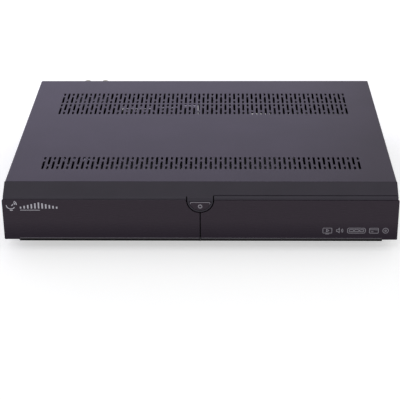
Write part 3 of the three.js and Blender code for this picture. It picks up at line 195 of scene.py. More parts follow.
class StageSettings(bpy.types.PropertyGroup):
    floor: length("Floor", "Side of the floor", 6000)
    dome: number("Dome", "Level of the light from all round", 0.62)
    back_lamp: number("Back lamp", "Power of the wide lamp behind, in watts", 1.7)
    back_lamp_width: length("Back lamp width", "Width of the lamp behind", 1200)
    back_lamp_height: length("Back lamp height", "Height of the lamp behind", 300)
    front_lamp: number("Front lamp", "Power of the lamp in front, in watts", 7)
    front_lamp_size: length("Front lamp size", "Side of the lamp in front", 450)
    lens: number("Lens", "Focal length of the camera, in millimetres", 112.75)
    camera_across: length("Camera across", "Camera to the right of the middle", 19.5)
    camera_before: length("Camera before", "Camera before the middle", 1095.35)
    camera_height: length("Camera height", "Camera above the table", 519)
    pitch: rotation("Pitch", "Camera's look down", 26.05)
    yaw: rotation("Yaw", "Camera's turn to the right", -1.167)
    roll: rotation("Roll", "Camera's turn about its own axis", -0.436)


# Surfaces: each is worked out as whole arrays

def mm(*numbers):
    """Numbers or rows of numbers in millimetres as an array in metres."""
    return np.array(numbers, float) * MM


AXIS_ORDER = {"x": [2, 0, 1], "y": [0, 2, 1], "z": [0, 1, 2]}


def grid_faces(rows, columns, close_rows=False, close_columns=False):
    """Four-cornered faces between the points of a grid, counted row by row, its ends joined if asked."""
    row = np.arange(rows if close_rows else rows - 1)[:, None]
    column = np.arange(columns if close_columns else columns - 1)[None, :]
    next_row = (row + 1) % rows
    next_column = (column + 1) % columns
    corners = [row * columns + column, row * columns + next_column,
               next_row * columns + next_column, next_row * columns + column]
    return np.stack(np.broadcast_arrays(*corners), axis=-1).reshape(-1, 4)


def inward(outline):
    """At each point of a closed outline, the step that moves both of its sides inwards by one unit."""
    sides = np.roll(outline, -1, axis=0) - outline
    sides = sides / np.linalg.norm(sides, axis=1, keepdims=True)
    normals = np.stack([-sides[:, 1], sides[:, 0]], axis=1)
    before = np.roll(normals, 1, axis=0)
    return (normals + before) / (1 + (normals * before).sum(axis=1, keepdims=True))


def carried(outline, stations, axis, loop=False):
    """A closed outline carried along an axis: at each station it is drawn in by the first number and set
    at the level of the second. Flat caps close both ends, or the last station joins the first as a loop."""
    outline = np.asarray(outline, float)
    following = np.roll(outline, -1, axis=0)
    if (outline[:, 0] * following[:, 1] - outline[:, 1] * following[:, 0]).sum() < 0:
        outline = outline[::-1]
    inset, level = np.asarray(stations, float).T
    flat = outline[None] + inset[:, None, None] * inward(outline)[None]
    points = np.concatenate([flat, np.broadcast_to(level[:, None, None], flat.shape[:2] + (1,))], axis=2)
    rows, count = flat.shape[:2]
    caps = [] if loop else [list(range(count)), list(range((rows - 1) * count, rows * count))]
    return points[:, :, AXIS_ORDER[axis]].reshape(-1, 3), grid_faces(rows, count, loop, True).tolist() + caps


def turned(profile, axis, place=(0, 0, 0), steps=48, relief=0):
    """A profile of radius and level turned about an axis: across and up are the radius, less a relief that
    may change round it, times the cosine and the sine of the angle. Points on the axis fall together and
    close the surface."""
    radius, level = np.asarray(profile, float).T[:, :, None]
    angle = np.arange(steps) * 2 * np.pi / steps
    across, up = (radius - relief) * np.cos(angle), (radius - relief) * np.sin(angle)
    points = np.stack([across, up, np.broadcast_to(level, across.shape)], axis=-1)
    points = points[:, :, AXIS_ORDER[axis]] + np.asarray(place, float)
    return points.reshape(-1, 3), grid_faces(len(level), steps, close_columns=True).tolist()


def rounding(radius, level, way, steps=3):
    """Stations of a rounded rim: a quarter circle from the flat end, drawn in by the radius, to the
    side."""
    angle = np.linspace(0, np.pi / 2, steps + 1)
    return np.stack([radius * (1 - np.sin(angle)), level + way * radius * (1 - np.cos(angle))], axis=1)


def arc(centre, radius, start, end, steps):
    """Points on a circle from one angle to another, in degrees."""
    angle = np.radians(np.linspace(start, end, steps + 1))
    return np.asarray(centre) + radius * np.stack([np.cos(angle), np.sin(angle)], axis=1)


def rounded_rectangle(low, high, radius, steps=4):
    """Two opposite corners, and a quarter circle at each of the four."""
    (left, bottom), (right, top) = low, high
    centres = [(right - radius, top - radius), (left + radius, top - radius),
               (left + radius, bottom + radius), (right - radius, bottom + radius)]
    return np.concatenate([
        arc(centre, radius, 90 * i, 90 * i + 90, steps) for i, centre in enumerate(centres)])


def block(low, high, corner, edge, axis="z", steps=3):
    """A block carried along its axis, its corners and its rims rounded by so many millimetres."""
    order = AXIS_ORDER[axis]
    across, up, level = (order.index(i) for i in range(3))
    outline = rounded_rectangle((low[across], low[up]), (high[across], high[up]), corner * MM)
    near, far = rounding(edge * MM, low[level], 1, steps), rounding(edge * MM, high[level], -1, steps)
    return carried(outline, np.concatenate([near, far[::-1]]), axis)


def stroke(points, width, face, depth, axis="y"):
    """A line of ink: the points carried sideways by half the width to both sides, and given a thickness."""
    points = np.asarray(points, float)
    along = np.gradient(points, axis=0)
    along /= np.linalg.norm(along, axis=1, keepdims=True)
    side = np.stack([-along[:, 1], along[:, 0]], axis=1) * width / 2
    outline = np.concatenate([points + side, (points - side)[::-1]])
    return carried(outline, [(0, face), (0, face + depth)], axis)


def line_loop(outline, width, face, depth):
    """A printed line round a closed outline: its section is carried round, half its width to both sides."""
    half = width / 2
    section = [(-half, face), (-half, face + depth), (half, face + depth), (half, face)]
    return carried(outline, section, "y", loop=True)


def hexagonal_nut(flats, bore, low, high, place):
    """A nut: at each angle the outer radius is half the width over flats divided by the cosine of the angle
    from the nearest flat, and at both faces a chamfer holds it to a circle; the bore closes the section."""
    steps = 72
    off = (np.arange(steps) * 2 * np.pi / steps) % (np.pi / 3) - np.pi / 6
    side = flats / 2 / np.cos(off)
    circle, chamfer = np.minimum(side, 0.535 * flats), 0.05 * flats
    inside = np.full(steps, bore)
    radii = np.stack([inside, circle, side, side, circle, inside])
    levels = [low, low, low + chamfer, high - chamfer, high, high]
    surface, _ = turned([(flats, level) for level in levels], "y", place, steps, flats - radii)
    return surface, grid_faces(len(levels), steps, True, True).tolist()


def thread_relief(levels, pitch, depth, steps):
    """How far a thread lies below its crest: the depth times a triangle wave of the level in pitches less
    the angle in turns, which fades out over the last pitch at both ends."""
    level = np.asarray(levels)[:, None]
    turn = np.arange(steps)[None, :] / steps
    phase = (level / pitch - turn) % 1
    ends = np.clip(np.minimum(level - level.min(), level.max() - level) / pitch, 0, 1)
    return depth * (1 - abs(2 * phase - 1) * ends)


def boxes(low, high):
    """Many straight bars at once, each between its two opposite corners: for pins, leads and contacts."""
    low, high = np.asarray(low, float), np.asarray(high, float)
    rim = [(0, 0), (1, 0), (1, 1), (0, 1)]
    pick = np.array([(*corner, level) for level in (0, 1) for corner in rim])
    points = low[:, None] + pick[None] * (high - low)[:, None]
    sides = np.array([(0, 3, 2, 1), (4, 5, 6, 7), (0, 1, 5, 4), (1, 2, 6, 5), (2, 3, 7, 6), (3, 0, 4, 7)])
    faces = sides[None] + 8 * np.arange(len(low))[:, None, None]
    return points.reshape(-1, 3), faces.reshape(-1, 4).tolist()


def swung(points, angle):
    """Points turned about the upright axis: across and back times the cosine and the sine of the angle."""
    cosine, sine = math.cos(angle), math.sin(angle)
    return points @ np.array([(cosine, sine, 0), (-sine, cosine, 0), (0, 0, 1)])


def on_board(node, *shares):
    """Points on a board from their shares of its width and depth."""
    low, high = box_of(node)
    return low[:2] + np.array(shares) * (high - low)[:2]


# The record's material slot that each finish belongs to, where a piece names no other
SLOTS = {
    "coat": "painted_steel", "plate": "smoked_plate", "board": "circuit_board", "rubber": "foot_rubber",
    "seal": "foot_rubber", "aluminium": "heat_sink_aluminium",
    **dict.fromkeys(("white_ink", "grey_ink", "black_ink"), "smoked_plate"),
    **dict.fromkeys(("zinc", "tin", "shade_darkened_tin", "nickel", "steel", "gold"), "bright_steel"),
}


def add_piece(name, parts, finish, node=None, body="receiver", slot=None):
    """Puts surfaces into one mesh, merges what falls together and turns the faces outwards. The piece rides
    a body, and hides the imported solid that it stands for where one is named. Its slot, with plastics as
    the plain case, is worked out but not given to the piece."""
    points, faces, first = [], [], 0
    for part_points, part_faces in parts:
        points.append(part_points)
        faces += [[first + corner for corner in face] for face in part_faces]
        first += len(part_points)
    mesh = bpy.data.meshes.new(name)
    mesh.from_pydata(np.concatenate(points).tolist(), [], faces)
    work = bmesh.new()
    work.from_mesh(mesh)
    bmesh.ops.remove_doubles(work, verts=work.verts, dist=MERGE_DISTANCE)
    bmesh.ops.recalc_face_normals(work, faces=work.faces)
    work.to_mesh(mesh)
    work.free()
    mesh.shade_smooth()
    mesh.set_sharp_from_angle(angle=SMOOTH_ANGLE)
    mesh.materials.append(finishes[finish])
    piece = bpy.data.objects.new(name, mesh)
    bpy.context.scene.collection.objects.link(piece)
    weigh(piece)
    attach(piece, body)
    slot or SLOTS.get(finish, "black_plastic")
    if node:
        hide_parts(node)


def weigh(piece):
    """Large faces keep their own direction where they run into a rounded rim."""
    weighing = piece.modifiers.new("Weighted normals", "WEIGHTED_NORMAL")
    weighing.keep_sharp = True


# Materials

def add(tree, kind, inputs=None, **settings):
    """Adds a node with its settings; each input is a value or the socket that it is linked to."""
    node = tree.nodes.new(kind)
    for name, value in settings.items():
        setattr(node, name, value)
    for key, value in (inputs or {}).items():
        if isinstance(value, bpy.types.NodeSocket):
            tree.links.new(value, node.inputs[key])
        else:
            node.inputs[key].default_value = value
    return node


def scaled(shade, share):
    """A colour made darker or lighter by a share."""
    return tuple(part * share for part in shade[:3]) + (1.0,)


def grained(name, shade, roughness, cloud, grain, spread=0.05, swing=0.05, depth=0.01, stretch=(1, 1, 1),
            **sockets):
    """One surface shader whose colour drifts darker and lighter by a share in clouds, and whose roughness
    and height follow a finer grain. Cloud and grain are millimetres from crest to crest, depth is in
    millimetres, and the stretch draws the grain out. Steady numbers are set on the shader's own sockets."""
    material = bpy.data.materials.new(name)
    material.use_nodes = True
    tree = material.node_tree
    surface = tree.nodes["Principled BSDF"]
    for key, value in sockets.items():
        surface.inputs[key.replace("_", " ")].default_value = value
    here = add(tree, "ShaderNodeTexCoord").outputs["Object"]
    drawn = add(tree, "ShaderNodeMapping", {"Vector": here, "Scale": stretch}).outputs[0]
    clouds, grains = (
        add(tree, "ShaderNodeTexNoise",
            {"Vector": place, "Scale": 1 / (size * MM), "Detail": detail}).outputs[0]
        for place, size, detail in ((here, cloud, 3.0), (drawn, grain, 2.0)))
    # Noise keeps near its middle, so its inner range is spread from end to end
    drift = add(tree, "ShaderNodeMapRange", {0: clouds, 1: 0.35, 2: 0.65}).outputs[0]
    tone = add(tree, "ShaderNodeMix",
               {0: drift, 6: scaled(shade, 1 - spread), 7: scaled(shade, 1 + spread)},
               data_type="RGBA").outputs[2]
    rough = add(tree, "ShaderNodeMapRange",
                {0: grains, 1: 0.3, 2: 0.7, 3: roughness - swing, 4: roughness + swing}).outputs[0]
    relief = add(tree, "ShaderNodeBump",
                 {"Height": grains, "Distance": depth * MM, "Strength": 0.5}).outputs[0]
    for key, socket in (("Base Color", tone), ("Roughness", rough), ("Normal", relief)):
        tree.links.new(socket, surface.inputs[key])
    return material


def marked(material, pattern, shade, depth=0, metallic=False):
    """Lays a pattern over a grained surface: where it is 1 the colour changes to the shade and, if asked,
    the surface to metal, and its height in millimetres joins the grain."""
    tree = material.node_tree
    surface = tree.nodes["Principled BSDF"]
    ground = surface.inputs["Base Color"].links[0].from_socket
    tone = add(tree, "ShaderNodeMix", {0: pattern, 6: ground, 7: shade}, data_type="RGBA").outputs[2]
    tree.links.new(tone, surface.inputs["Base Color"])
    if depth:
        under = surface.inputs["Normal"].links[0].from_socket
        relief = add(tree, "ShaderNodeBump", {"Height": pattern, "Distance": depth * MM, "Normal": under})
        tree.links.new(relief.outputs[0], surface.inputs["Normal"])
    if metallic:
        tree.links.new(pattern, surface.inputs["Metallic"])


def ribs(tree, pitch, direction):
    """Soft ribs across a direction: a wave from 0 to 1 that repeats every pitch."""
    here = add(tree, "ShaderNodeTexCoord").outputs["Object"]
    return add(tree, "ShaderNodeTexWave", {"Vector": here, "Scale": math.pi / 10 / pitch},
               bands_direction=direction).outputs["Fac"]


def rise(tree, low, high):
    """An even rise from 0 at one height to 1 at another."""
    here = add(tree, "ShaderNodeTexCoord").outputs["Object"]
    height = add(tree, "ShaderNodeSeparateXYZ", {0: here}).outputs[2]
    return add(tree, "ShaderNodeMapRange", {0: height, 1: low, 2: high}).outputs[0]


def tracks(tree, turn):
    """Copper tracks on a 2.5 mm grid in broken lengths: bricks 19 mm long with a gap between the rows."""
    here = add(tree, "ShaderNodeTexCoord").outputs["Object"]
    there = add(tree, "ShaderNodeMapping", {"Vector": here, "Rotation": (0, 0, turn)}).outputs[0]
    return add(tree, "ShaderNodeTexBrick", {
        "Vector": there, "Scale": 1.0, "Color1": (1, 1, 1, 1), "Color2": (0.35, 0.35, 0.35, 1),
        "Mortar": (0, 0, 0, 1), "Mortar Size": 0.4 * MM, "Brick Width": 19 * MM, "Row Height": 2.5 * MM,
    }, offset=0.37, squash=1.6).outputs[0]


def etched(material, shade):
    """Lays copper over a board: the tracks under the mask are lighter and stand slightly proud, and run
    across or along in regions 28 mm wide; tinned holes 1 mm wide glint in most of the board's 5 mm cells."""
    tree = material.node_tree
    here = add(tree, "ShaderNodeTexCoord").outputs["Object"]
    region = add(tree, "ShaderNodeTexNoise",
                 {"Vector": here, "Scale": 1 / (28 * MM), "Detail": 0.0}).outputs[0]
    half = add(tree, "ShaderNodeMapRange", {0: region, 1: 0.48, 2: 0.52}).outputs[0]
    both = add(tree, "ShaderNodeMix", {0: half, 6: tracks(tree, 0), 7: tracks(tree, math.pi / 2)},
               data_type="RGBA").outputs[2]
    cells = add(tree, "ShaderNodeTexVoronoi", {"Vector": here, "Scale": 1 / (5 * MM)}).outputs[0]
    holes = add(tree, "ShaderNodeMapRange", {0: cells, 1: 0.1, 2: 0.13, 3: 1.0, 4: 0.0}).outputs[0]
    marked(material, both, scaled(shade, 1.7), 0.03)
    marked(material, holes, linear("#b9bab4"), metallic=True)


# Each finish: its material's name, its colour or the name of the user's colour, its roughness, its clouds
# and its grain in millimetres, and what differs from the plain case. Each is grained by its real size, or
# coarser where a note says so
FINISHES = {
    # Sheet steel with a baked powder coat: a fine orange peel, so highlights are broad and soft, and a
    # faint cloudiness where the coat runs thicker
    "coat": ("powder_coated_steel", "coat", 0.44, 45, 0.5,
             dict(spread=0.07, IOR=1.5, Specular_IOR_Level=0.11)),
    # ABS from a spark-eroded mould: an even grain 0.3 mm apart that scatters the light, without gloss
    "moulding": ("spark_grained_abs", "moulding", 0.46, 30, 0.3,
                 dict(depth=0.012, IOR=1.53, Specular_IOR_Level=0.22)),
    # Cast acrylic, dipped in smoke dye: wiping marks along the plate, drawn 0.6 mm wide, on a smooth dark
    # skin that is painted a shade lighter towards the top, as painted shade that darkens its lower part
    "plate": ("dip_dyed_cast_acrylic", "plate", 0.26, 25, 0.6,
              dict(spread=0.04, swing=0.04, depth=0.0015, stretch=(0.06, 1, 1), IOR=1.49,
                   Specular_IOR_Level=0.17)),
    # Extruded EPDM rubber: dead black and matt, with drawing lines along the strip. It is put as painted
    # shade under the foot of the plates, and on the rib seen through their seam
    "seal": ("extruded_epdm_strip", "#0c0b0d", 0.8, 6, 0.4,
             dict(spread=0.2, swing=0.07, stretch=(0.05, 1, 1), IOR=1.5, Specular_IOR_Level=0.1)),
    # Cold-rolled steel under bright zinc: a cool grey metal with crystals 3 mm wide and rolling lines; its
    # grey is darkened as painted shade for the inside of the case, seen through the vents
    "zinc": ("zinc_plated_steel", "#5c6064", 0.4, 3, 1.2,
             dict(spread=0.1, swing=0.08, depth=0.006, stretch=(1, 0.04, 1), Metallic=1.0)),
    # Stamped tin plate: bright and slightly warm, with drawing lines 0.5 mm apart
    "tin": ("stamped_tin_plate", "#c6c6c4", 0.28, 6, 0.5,
            dict(swing=0.04, depth=0.0015, stretch=(1, 0.05, 1), Metallic=1.0)),
    # Tuner cans stamped from tin plate, coloured a dull dark grey metal: painted shade for the inside of the
    # case, seen through the vents
    "shade_darkened_tin": ("passivated_tin_plate", "#1b1c1e", 0.5, 6, 0.5,
                 dict(spread=0.15, swing=0.08, depth=0.004, stretch=(1, 0.05, 1), Metallic=1.0)),
    # Brass turned and plated with bright nickel: a warm white metal with rings left by the lathe
    "nickel": ("nickel_plated_brass", "#b3b0a8", 0.24, 4, 0.2,
               dict(swing=0.07, depth=0.004, stretch=(0.02, 1, 0.02), Metallic=1.0)),
    # Screws turned from steel under clear zinc: faintly blue, with tool marks
    "steel": ("turned_zinc_plated_steel", "#b9bcc2", 0.28, 2, 0.3,
              dict(swing=0.08, depth=0.004, Metallic=1.0)),
    # Phosphor bronze under a flash of gold: pale yellow, slightly rubbed
    "gold": ("gold_plated_bronze", "#e0bf76", 0.26, 1, 0.3, dict(spread=0.12, Metallic=1.0)),
    # Extruded aluminium, anodised clear: a satin grey metal with lines along the extrusion
    "aluminium": ("anodised_aluminium", "#a9acb0", 0.4, 9, 0.35,
                  dict(spread=0.08, swing=0.07, depth=0.005, stretch=(1, 0.03, 1), Metallic=1.0)),
    # Moulded nitrile rubber: nearly black and matt, with dust in its fine pores
    "rubber": ("moulded_nitrile_rubber", "rubber", 0.85, 8, 0.5,
               dict(spread=0.25, swing=0.07, depth=0.03, IOR=1.52)),
    # Glass-filled PBT as sockets are moulded from: black, half matt, streaked by its fibres
    "black": ("moulded_black_pbt", "black", 0.4, 5, 0.6,
              dict(spread=0.2, swing=0.08, stretch=(0.3, 1, 1), IOR=1.57)),
    # Filled epoxy, transfer moulded: charcoal and matt, with a fine even grit
    "epoxy": ("transfer_moulded_epoxy", "#232325", 0.62, 3, 0.25, dict(spread=0.15, swing=0.08, IOR=1.55)),
    # Heat-shrunk PVC sleeve: glossy and dark blue-black
    "sleeve": ("shrunk_pvc_sleeve", "#23262f", 0.3, 4, 1, dict(spread=0.1, depth=0.003, IOR=1.53)),
    # Sintered and ground ferrite: dense dark grey that sparkles slightly
    "ferrite": ("ground_ferrite", "#3a3a3d", 0.5, 2, 0.3, dict(spread=0.2, swing=0.1, IOR=1.5)),
    # Polyester tape wound on a coil: yellow and glossy, with its overlaps 4 mm apart as low ridges
    "tape": ("wound_polyester_tape", "#c39a2e", 0.3, 7, 0.8, dict(IOR=1.6)),
    # Soda-lime glass of a vacuum display, drawn and sealed: dark and smooth over a grid drawn 1 mm apart
    "glass": ("drawn_display_glass", "#12181a", 0.07, 12, 3,
              dict(swing=0.03, depth=0.002, IOR=1.52, Coat_Weight=0.3)),
    # Glass-epoxy board, etched and masked green: half matt over its tracks. The green is darkened as
    # painted shade for the inside of the case, seen through the vents
    "board": ("masked_glass_epoxy_board", "mask", 0.4, 9, 0.4, dict(IOR=1.5, Specular_IOR_Level=0.25)),
    # Flat cables of extruded PVC: their wires lie side by side and show as soft ribs, with grooves painted
    # darker as painted shade; the lead's grey is also darkened as painted shade for the inside of the case
    "ribbon": ("extruded_ribbon_pvc", "#a9a7a3", 0.5, 6, 0.4, dict(IOR=1.53)),
    "lead": ("extruded_lead_pvc", "#37363a", 0.5, 6, 0.4, dict(IOR=1.53)),
}
# Ribs on a finish: their pitch in millimetres, the direction across them, their colour and their height
RIBS = {
    "tape": (4, "Z", "#cfa63c", 0.06),
    "glass": (1, "X", "#1c2527", 0),
    "ribbon": (1.27, "X", "#a9a7a3", 0.2),
    "lead": (2.4, "Y", "#37363a", 0.2),
}
# Painted shade: the grooves of the ribbon and of the lead keep this share of their colour
GROOVE_PAINTED_SHADE = 0.6
PLASTIC_COLOURS = {
    "red": "#a8202a", "white": "#d5d3cd", "yellow": "#d3a51f", "green": "#1f7a3c", "blue": "#2350a0",
    "grey": "#55565a",
}
finishes = {}


class RECEIVER_OT_finishes(bpy.types.Operator):
    """The materials of the whole receiver, made once and shared by its pieces"""
    bl_idname = "receiver.finishes"
    bl_label = "Finishes"

    def execute(self, context):
        colours = context.scene.receiver_colours
        for key, (name, code, *sizes, more) in FINISHES.items():
            shade = linear(code) if code.startswith("#") else tuple(getattr(colours, code))
            # Painted shade in the grooves of the ribbon and of the lead
            shade = scaled(shade, GROOVE_PAINTED_SHADE) if key in ("ribbon", "lead") else shade
            finishes[key] = grained(name, shade, *sizes, **more)
        for key, (pitch, direction, code, height) in RIBS.items():
            pattern = ribs(finishes[key].node_tree, pitch * MM, direction)
            marked(finishes[key], pattern, linear(code), height)
        # Painted shade: the plates darken from 18 mm down to 4 mm above their foot
        low, high = PLATE_LOW[2] + mm(4, 18)
        marked(finishes["plate"], rise(finishes["plate"].node_tree, low, high), tuple(colours.plate_top))
        etched(finishes["board"], tuple(colours.mask))
        # Screen-printed ink: flat and matt. The screen's mesh is 0.1 mm, drawn at 0.2 mm to show at all
        # The black bands are painted shade, and the grey hairlines and the button's line are painted
        # highlight
        for ink in ("white_ink", "grey_ink", "black_ink"):
            finishes[ink] = grained(f"screen_printed_{ink}", tuple(getattr(colours, ink)), 0.6, 2, 0.2,
                                    depth=0.004, IOR=1.5)
        # Polypropylene rings and insulators, moulded: even and slightly waxy, in the colours of the signals
        for name, code in PLASTIC_COLOURS.items():
            finishes[name] = grained(f"moulded_{name}_polypropylene", linear(code), 0.42, 2, 0.4,
                                     depth=0.006, IOR=1.49)
        return {"FINISHED"}


def dress(finish, edge, *nodes):
    """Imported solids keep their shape: their loose triangles are merged, and their sharp edges broken by so
    many millimetres."""
    for node in nodes:
        piece = frame["nodes"][node]
        piece.data.materials.clear()
        piece.data.materials.append(finishes[finish])
        piece.modifiers.new("Weld", "WELD").merge_threshold = MERGE_DISTANCE
        flat = piece.modifiers.new("Dissolve", "DECIMATE")
        flat.decimate_type = "DISSOLVE"
        flat.angle_limit = math.radians(1)
        breaking = piece.modifiers.new("Broken edges", "BEVEL")
        breaking.width = edge * MM
        breaking.segments = 2
        breaking.limit_method = "ANGLE"
        breaking.angle_limit = math.radians(40)
        breaking.use_clamp_overlap = True
        piece.modifiers.new("Shading", "NODES").node_group = shading_by_angle()
        weigh(piece)


def shading_by_angle():
    """Smooth shading, but for edges that turn by more than the limit."""
    group = bpy.data.node_groups.get("Shading by angle")
    if group:
        return group
    group = bpy.data.node_groups.new("Shading by angle", "GeometryNodeTree")
    group.interface.new_socket("Geometry", in_out="INPUT", socket_type="NodeSocketGeometry")
    group.interface.new_socket("Geometry", in_out="OUTPUT", socket_type="NodeSocketGeometry")
    shape = add(group, "NodeGroupInput").outputs[0]
    smooth = add(group, "GeometryNodeSetShadeSmooth", {0: shape, 2: True}, domain="FACE").outputs[0]
    turn = add(group, "GeometryNodeInputMeshEdgeAngle").outputs[0]
    gentle = add(group, "FunctionNodeCompare", {0: turn, 1: SMOOTH_ANGLE}, operation="LESS_THAN").outputs[0]
    edges = add(group, "GeometryNodeSetShadeSmooth", {0: smooth, 2: gentle}, domain="EDGE").outputs[0]
    add(group, "NodeGroupOutput", {0: edges})
    return group


# Cover

def stadiums(across, fore, rear, width, grow, steps=6):
    """Long holes with round ends, one row of points for each: a half circle at both ends, all grown."""
    radius = width / 2 + grow
    near = arc((0, 0), radius, 180, 360, steps)
    far = arc((0, 0), radius, 0, 180, steps)
    near = near[None] + np.stack([across, fore + width / 2], axis=1)[:, None]
    far = far[None] + np.stack([across, rear - width / 2], axis=1)[:, None]
    return np.concatenate([near, far], axis=1)


def pierced(low, high, margin, outlines, sheet, rim):
    """A flat sheet with holes: between the holes its two faces are triangles stretched over their outlines,
    and each hole's wall is its outline carried through the sheet, past a rounded upper rim. Points are
    across, along and the depth below the face; outlines gives the holes' points for a growth."""
    angle = np.linspace(0, np.pi / 2, 3)
    growth = list(rim * (1 - np.sin(angle))) + [0]
    depth = list(rim * (1 - np.cos(angle))) + [sheet]
    rings = np.stack([outlines(grow) for grow in growth])
    holes, around = rings.shape[1:3]
    levels = np.broadcast_to(np.asarray(depth)[:, None, None, None], rings.shape[:3] + (1,))
    point = np.arange(holes * around).reshape(holes, around)
    following = np.roll(point, -1, axis=1)
    layer = np.arange(len(depth) - 1)[:, None, None] * holes * around
    below = layer + holes * around
    walls = np.stack([point + layer, following + layer, following + below, point + below], axis=-1)
    faces = walls.reshape(-1, 4).tolist()
    points = np.concatenate([rings, levels], axis=3).reshape(-1, 3)
    hole_of = np.concatenate([np.repeat(np.arange(holes), around), [-1, -2, -3, -4]])
    for ring, inset in ((0, margin), (len(depth) - 1, 0)):
        near, far = low[1] + inset, high[1] - inset
        corners = [(low[0], near), (high[0], near), (high[0], far), (low[0], far)]
        flat = np.concatenate([rings[ring].reshape(-1, 2), corners])
        edges = np.stack([point, following], axis=-1).reshape(-1, 2).tolist()
        edges += [(len(flat) - 4 + i, len(flat) - 4 + (i + 1) % 4) for i in range(4)]
        spread = delaunay_2d_cdt(flat.tolist(), edges, [], 0, 1e-8)
        source = np.array([origin[0] for origin in spread[3]])
        triangles = source[np.array(spread[2])]
        owner = hole_of[triangles]
        between_holes = (owner[:, 0] != owner[:, 1]) | (owner[:, 1] != owner[:, 2])
        faces += (triangles[between_holes] + len(points)).tolist()
        points = np.concatenate([points, np.column_stack([flat, np.full(len(flat), depth[ring])])])
    return points, faces


def vents(sizes):
    """The holes of the three bands: in each column a long and a short one, which swap ends from one column
    to the next."""
    index = np.arange(sizes.vent_columns)
    across = (index - (sizes.vent_columns - 1) / 2) * sizes.vent_pitch
    band = sizes.slot_length + sizes.vent_web + sizes.dot_length
    first = np.where(index % 2 == 0, sizes.slot_length, sizes.dot_length)
    middles = [sizes.front_band, sizes.rear_bands - sizes.band_spacing / 2,
               sizes.rear_bands + sizes.band_spacing / 2]
    starts = [COVER_LOW[1] + middle - band / 2 + 0 * across for middle in middles]
    fore = np.concatenate([edge for start in starts for edge in (start, start + first + sizes.vent_web)])
    rear = np.concatenate([edge for start in starts for edge in (start + first, start + band)])
    across = np.tile(across, 2 * len(middles))
    return lambda grow: stadiums(across, fore, rear, sizes.vent_width, grow)


def cover_surfaces(sizes):
    """The cover: the section through the sheet's thickness is carried along a path that climbs one side,
    folds over, crosses the top, folds again and goes down the other side; the three flat stretches are
    pierced sheets."""
    half, top = COVER_HIGH[0], COVER_HIGH[2]
    bottom, fore, rear = COVER_LOW[2], COVER_LOW[1], COVER_HIGH[1]
    sheet, bend, edge = sizes.sheet, sizes.bend, sizes.edge
    fold = arc((0, 0), 1, 0, 90, 6)
    mirror = (-1, 1)
    out = np.concatenate([fold[:1], fold, fold[::-1] * mirror, fold[:1] * mirror])
    turn = bend * fold + (half - bend, top - bend)
    foot = np.array([(half, bottom)])
    path = np.concatenate([foot, turn, turn[::-1] * mirror, foot * mirror])
    near = edge * (1 - math.sqrt(0.5))
    depth, back = np.array([
        (0, fore + edge), (0, rear - edge), (near, rear - near), (edge, rear),
        (sheet, rear), (sheet, fore), (edge, fore), (near, fore + near)]).T
    flat = path[:, None, :] - depth[None, :, None] * out[:, None, :]
    points = np.stack([flat[:, :, 0], np.broadcast_to(back, flat.shape[:2]), flat[:, :, 1]], axis=-1)
    rows, columns = points.shape[:2]
    faces = grid_faces(rows, columns, close_columns=True).reshape(rows - 1, columns, 4)
    # The flat stretches leave out the strips of both faces of the sheet, which are pierced instead
    kept = np.ones((rows - 1, columns), bool)
    kept[np.ix_([0, (rows - 2) // 2, rows - 2], [0, 4])] = False
    ends = [list(range(columns)), list(range((rows - 1) * columns, rows * columns))]
    strips = (points.reshape(-1, 3), faces[kept].tolist() + ends)

    lid, lid_faces = pierced((bend - half, fore), (half - bend, rear), edge, vents(sizes), sheet, edge)
    lid = lid * (1, 1, -1) + (0, 0, top)
    screws = [box_of(f"cover_screw_{end}_right") for end in ("front", "rear")]
    centres = np.array([(low + high)[[2, 1]] / 2 for low, high in screws])
    radius = (screws[0][1] - screws[0][0])[1] / 2 + sizes.screw_clearance
    side, side_faces = pierced((bottom, fore), (top - bend, rear), edge,
                               lambda grow: centres[:, None] + arc((0, 0), radius + grow, 0, 345, 23)[None],
                               sheet, edge)
    right = np.column_stack([half - side[:, 2], side[:, 1], side[:, 0]])
    return [strips, (lid, lid_faces), (right, side_faces), (right * (-1, 1, 1), side_faces)]


class RECEIVER_OT_casing(bpy.types.Operator):
    """Folded cover with its vents, and the finishes of the base and of the rear panel"""
    bl_idname = "receiver.casing"
    bl_label = "Casing"

    def execute(self, context):
        add_piece("cover_sheet", cover_surfaces(context.scene.receiver_cover), "coat", "top_cover")
        dress("coat", 0.2, "rear_panel")
        dress("zinc", 0.2, "base_chassis")
        return {"FINISHED"}


# Screws and feet

def screw_head(radius, height, crown, recess):
    """A crowned head with crossed recesses on a grid of radius and angle: the height falls with the square
    of the radius, less the recess where the point lies within either arm of the cross."""
    steps = 64
    share = np.concatenate([np.linspace(0, 0.97, 26), [1, 1, 0]])[:, None]
    angle = (np.arange(steps) * 2 * np.pi / steps)[None, :]
    across, up = share * radius * np.cos(angle), share * radius * np.sin(angle)
    arm, reach = 0.13 * radius, 0.56 * radius
    outside = np.minimum(np.maximum(abs(across) - arm, abs(up) - reach),
                         np.maximum(abs(across) - reach, abs(up) - arm))
    sunk = recess * np.clip(0.5 - outside / (0.12 * radius), 0, 1)
    level = height + crown * (1 - share ** 2) - sunk
    level[-3] = height - 0.03 * radius
    level[-2:] = 0
    points = np.stack([across, up, level], axis=-1)
    return points.reshape(-1, 3), grid_faces(len(share), steps, close_columns=True).tolist()


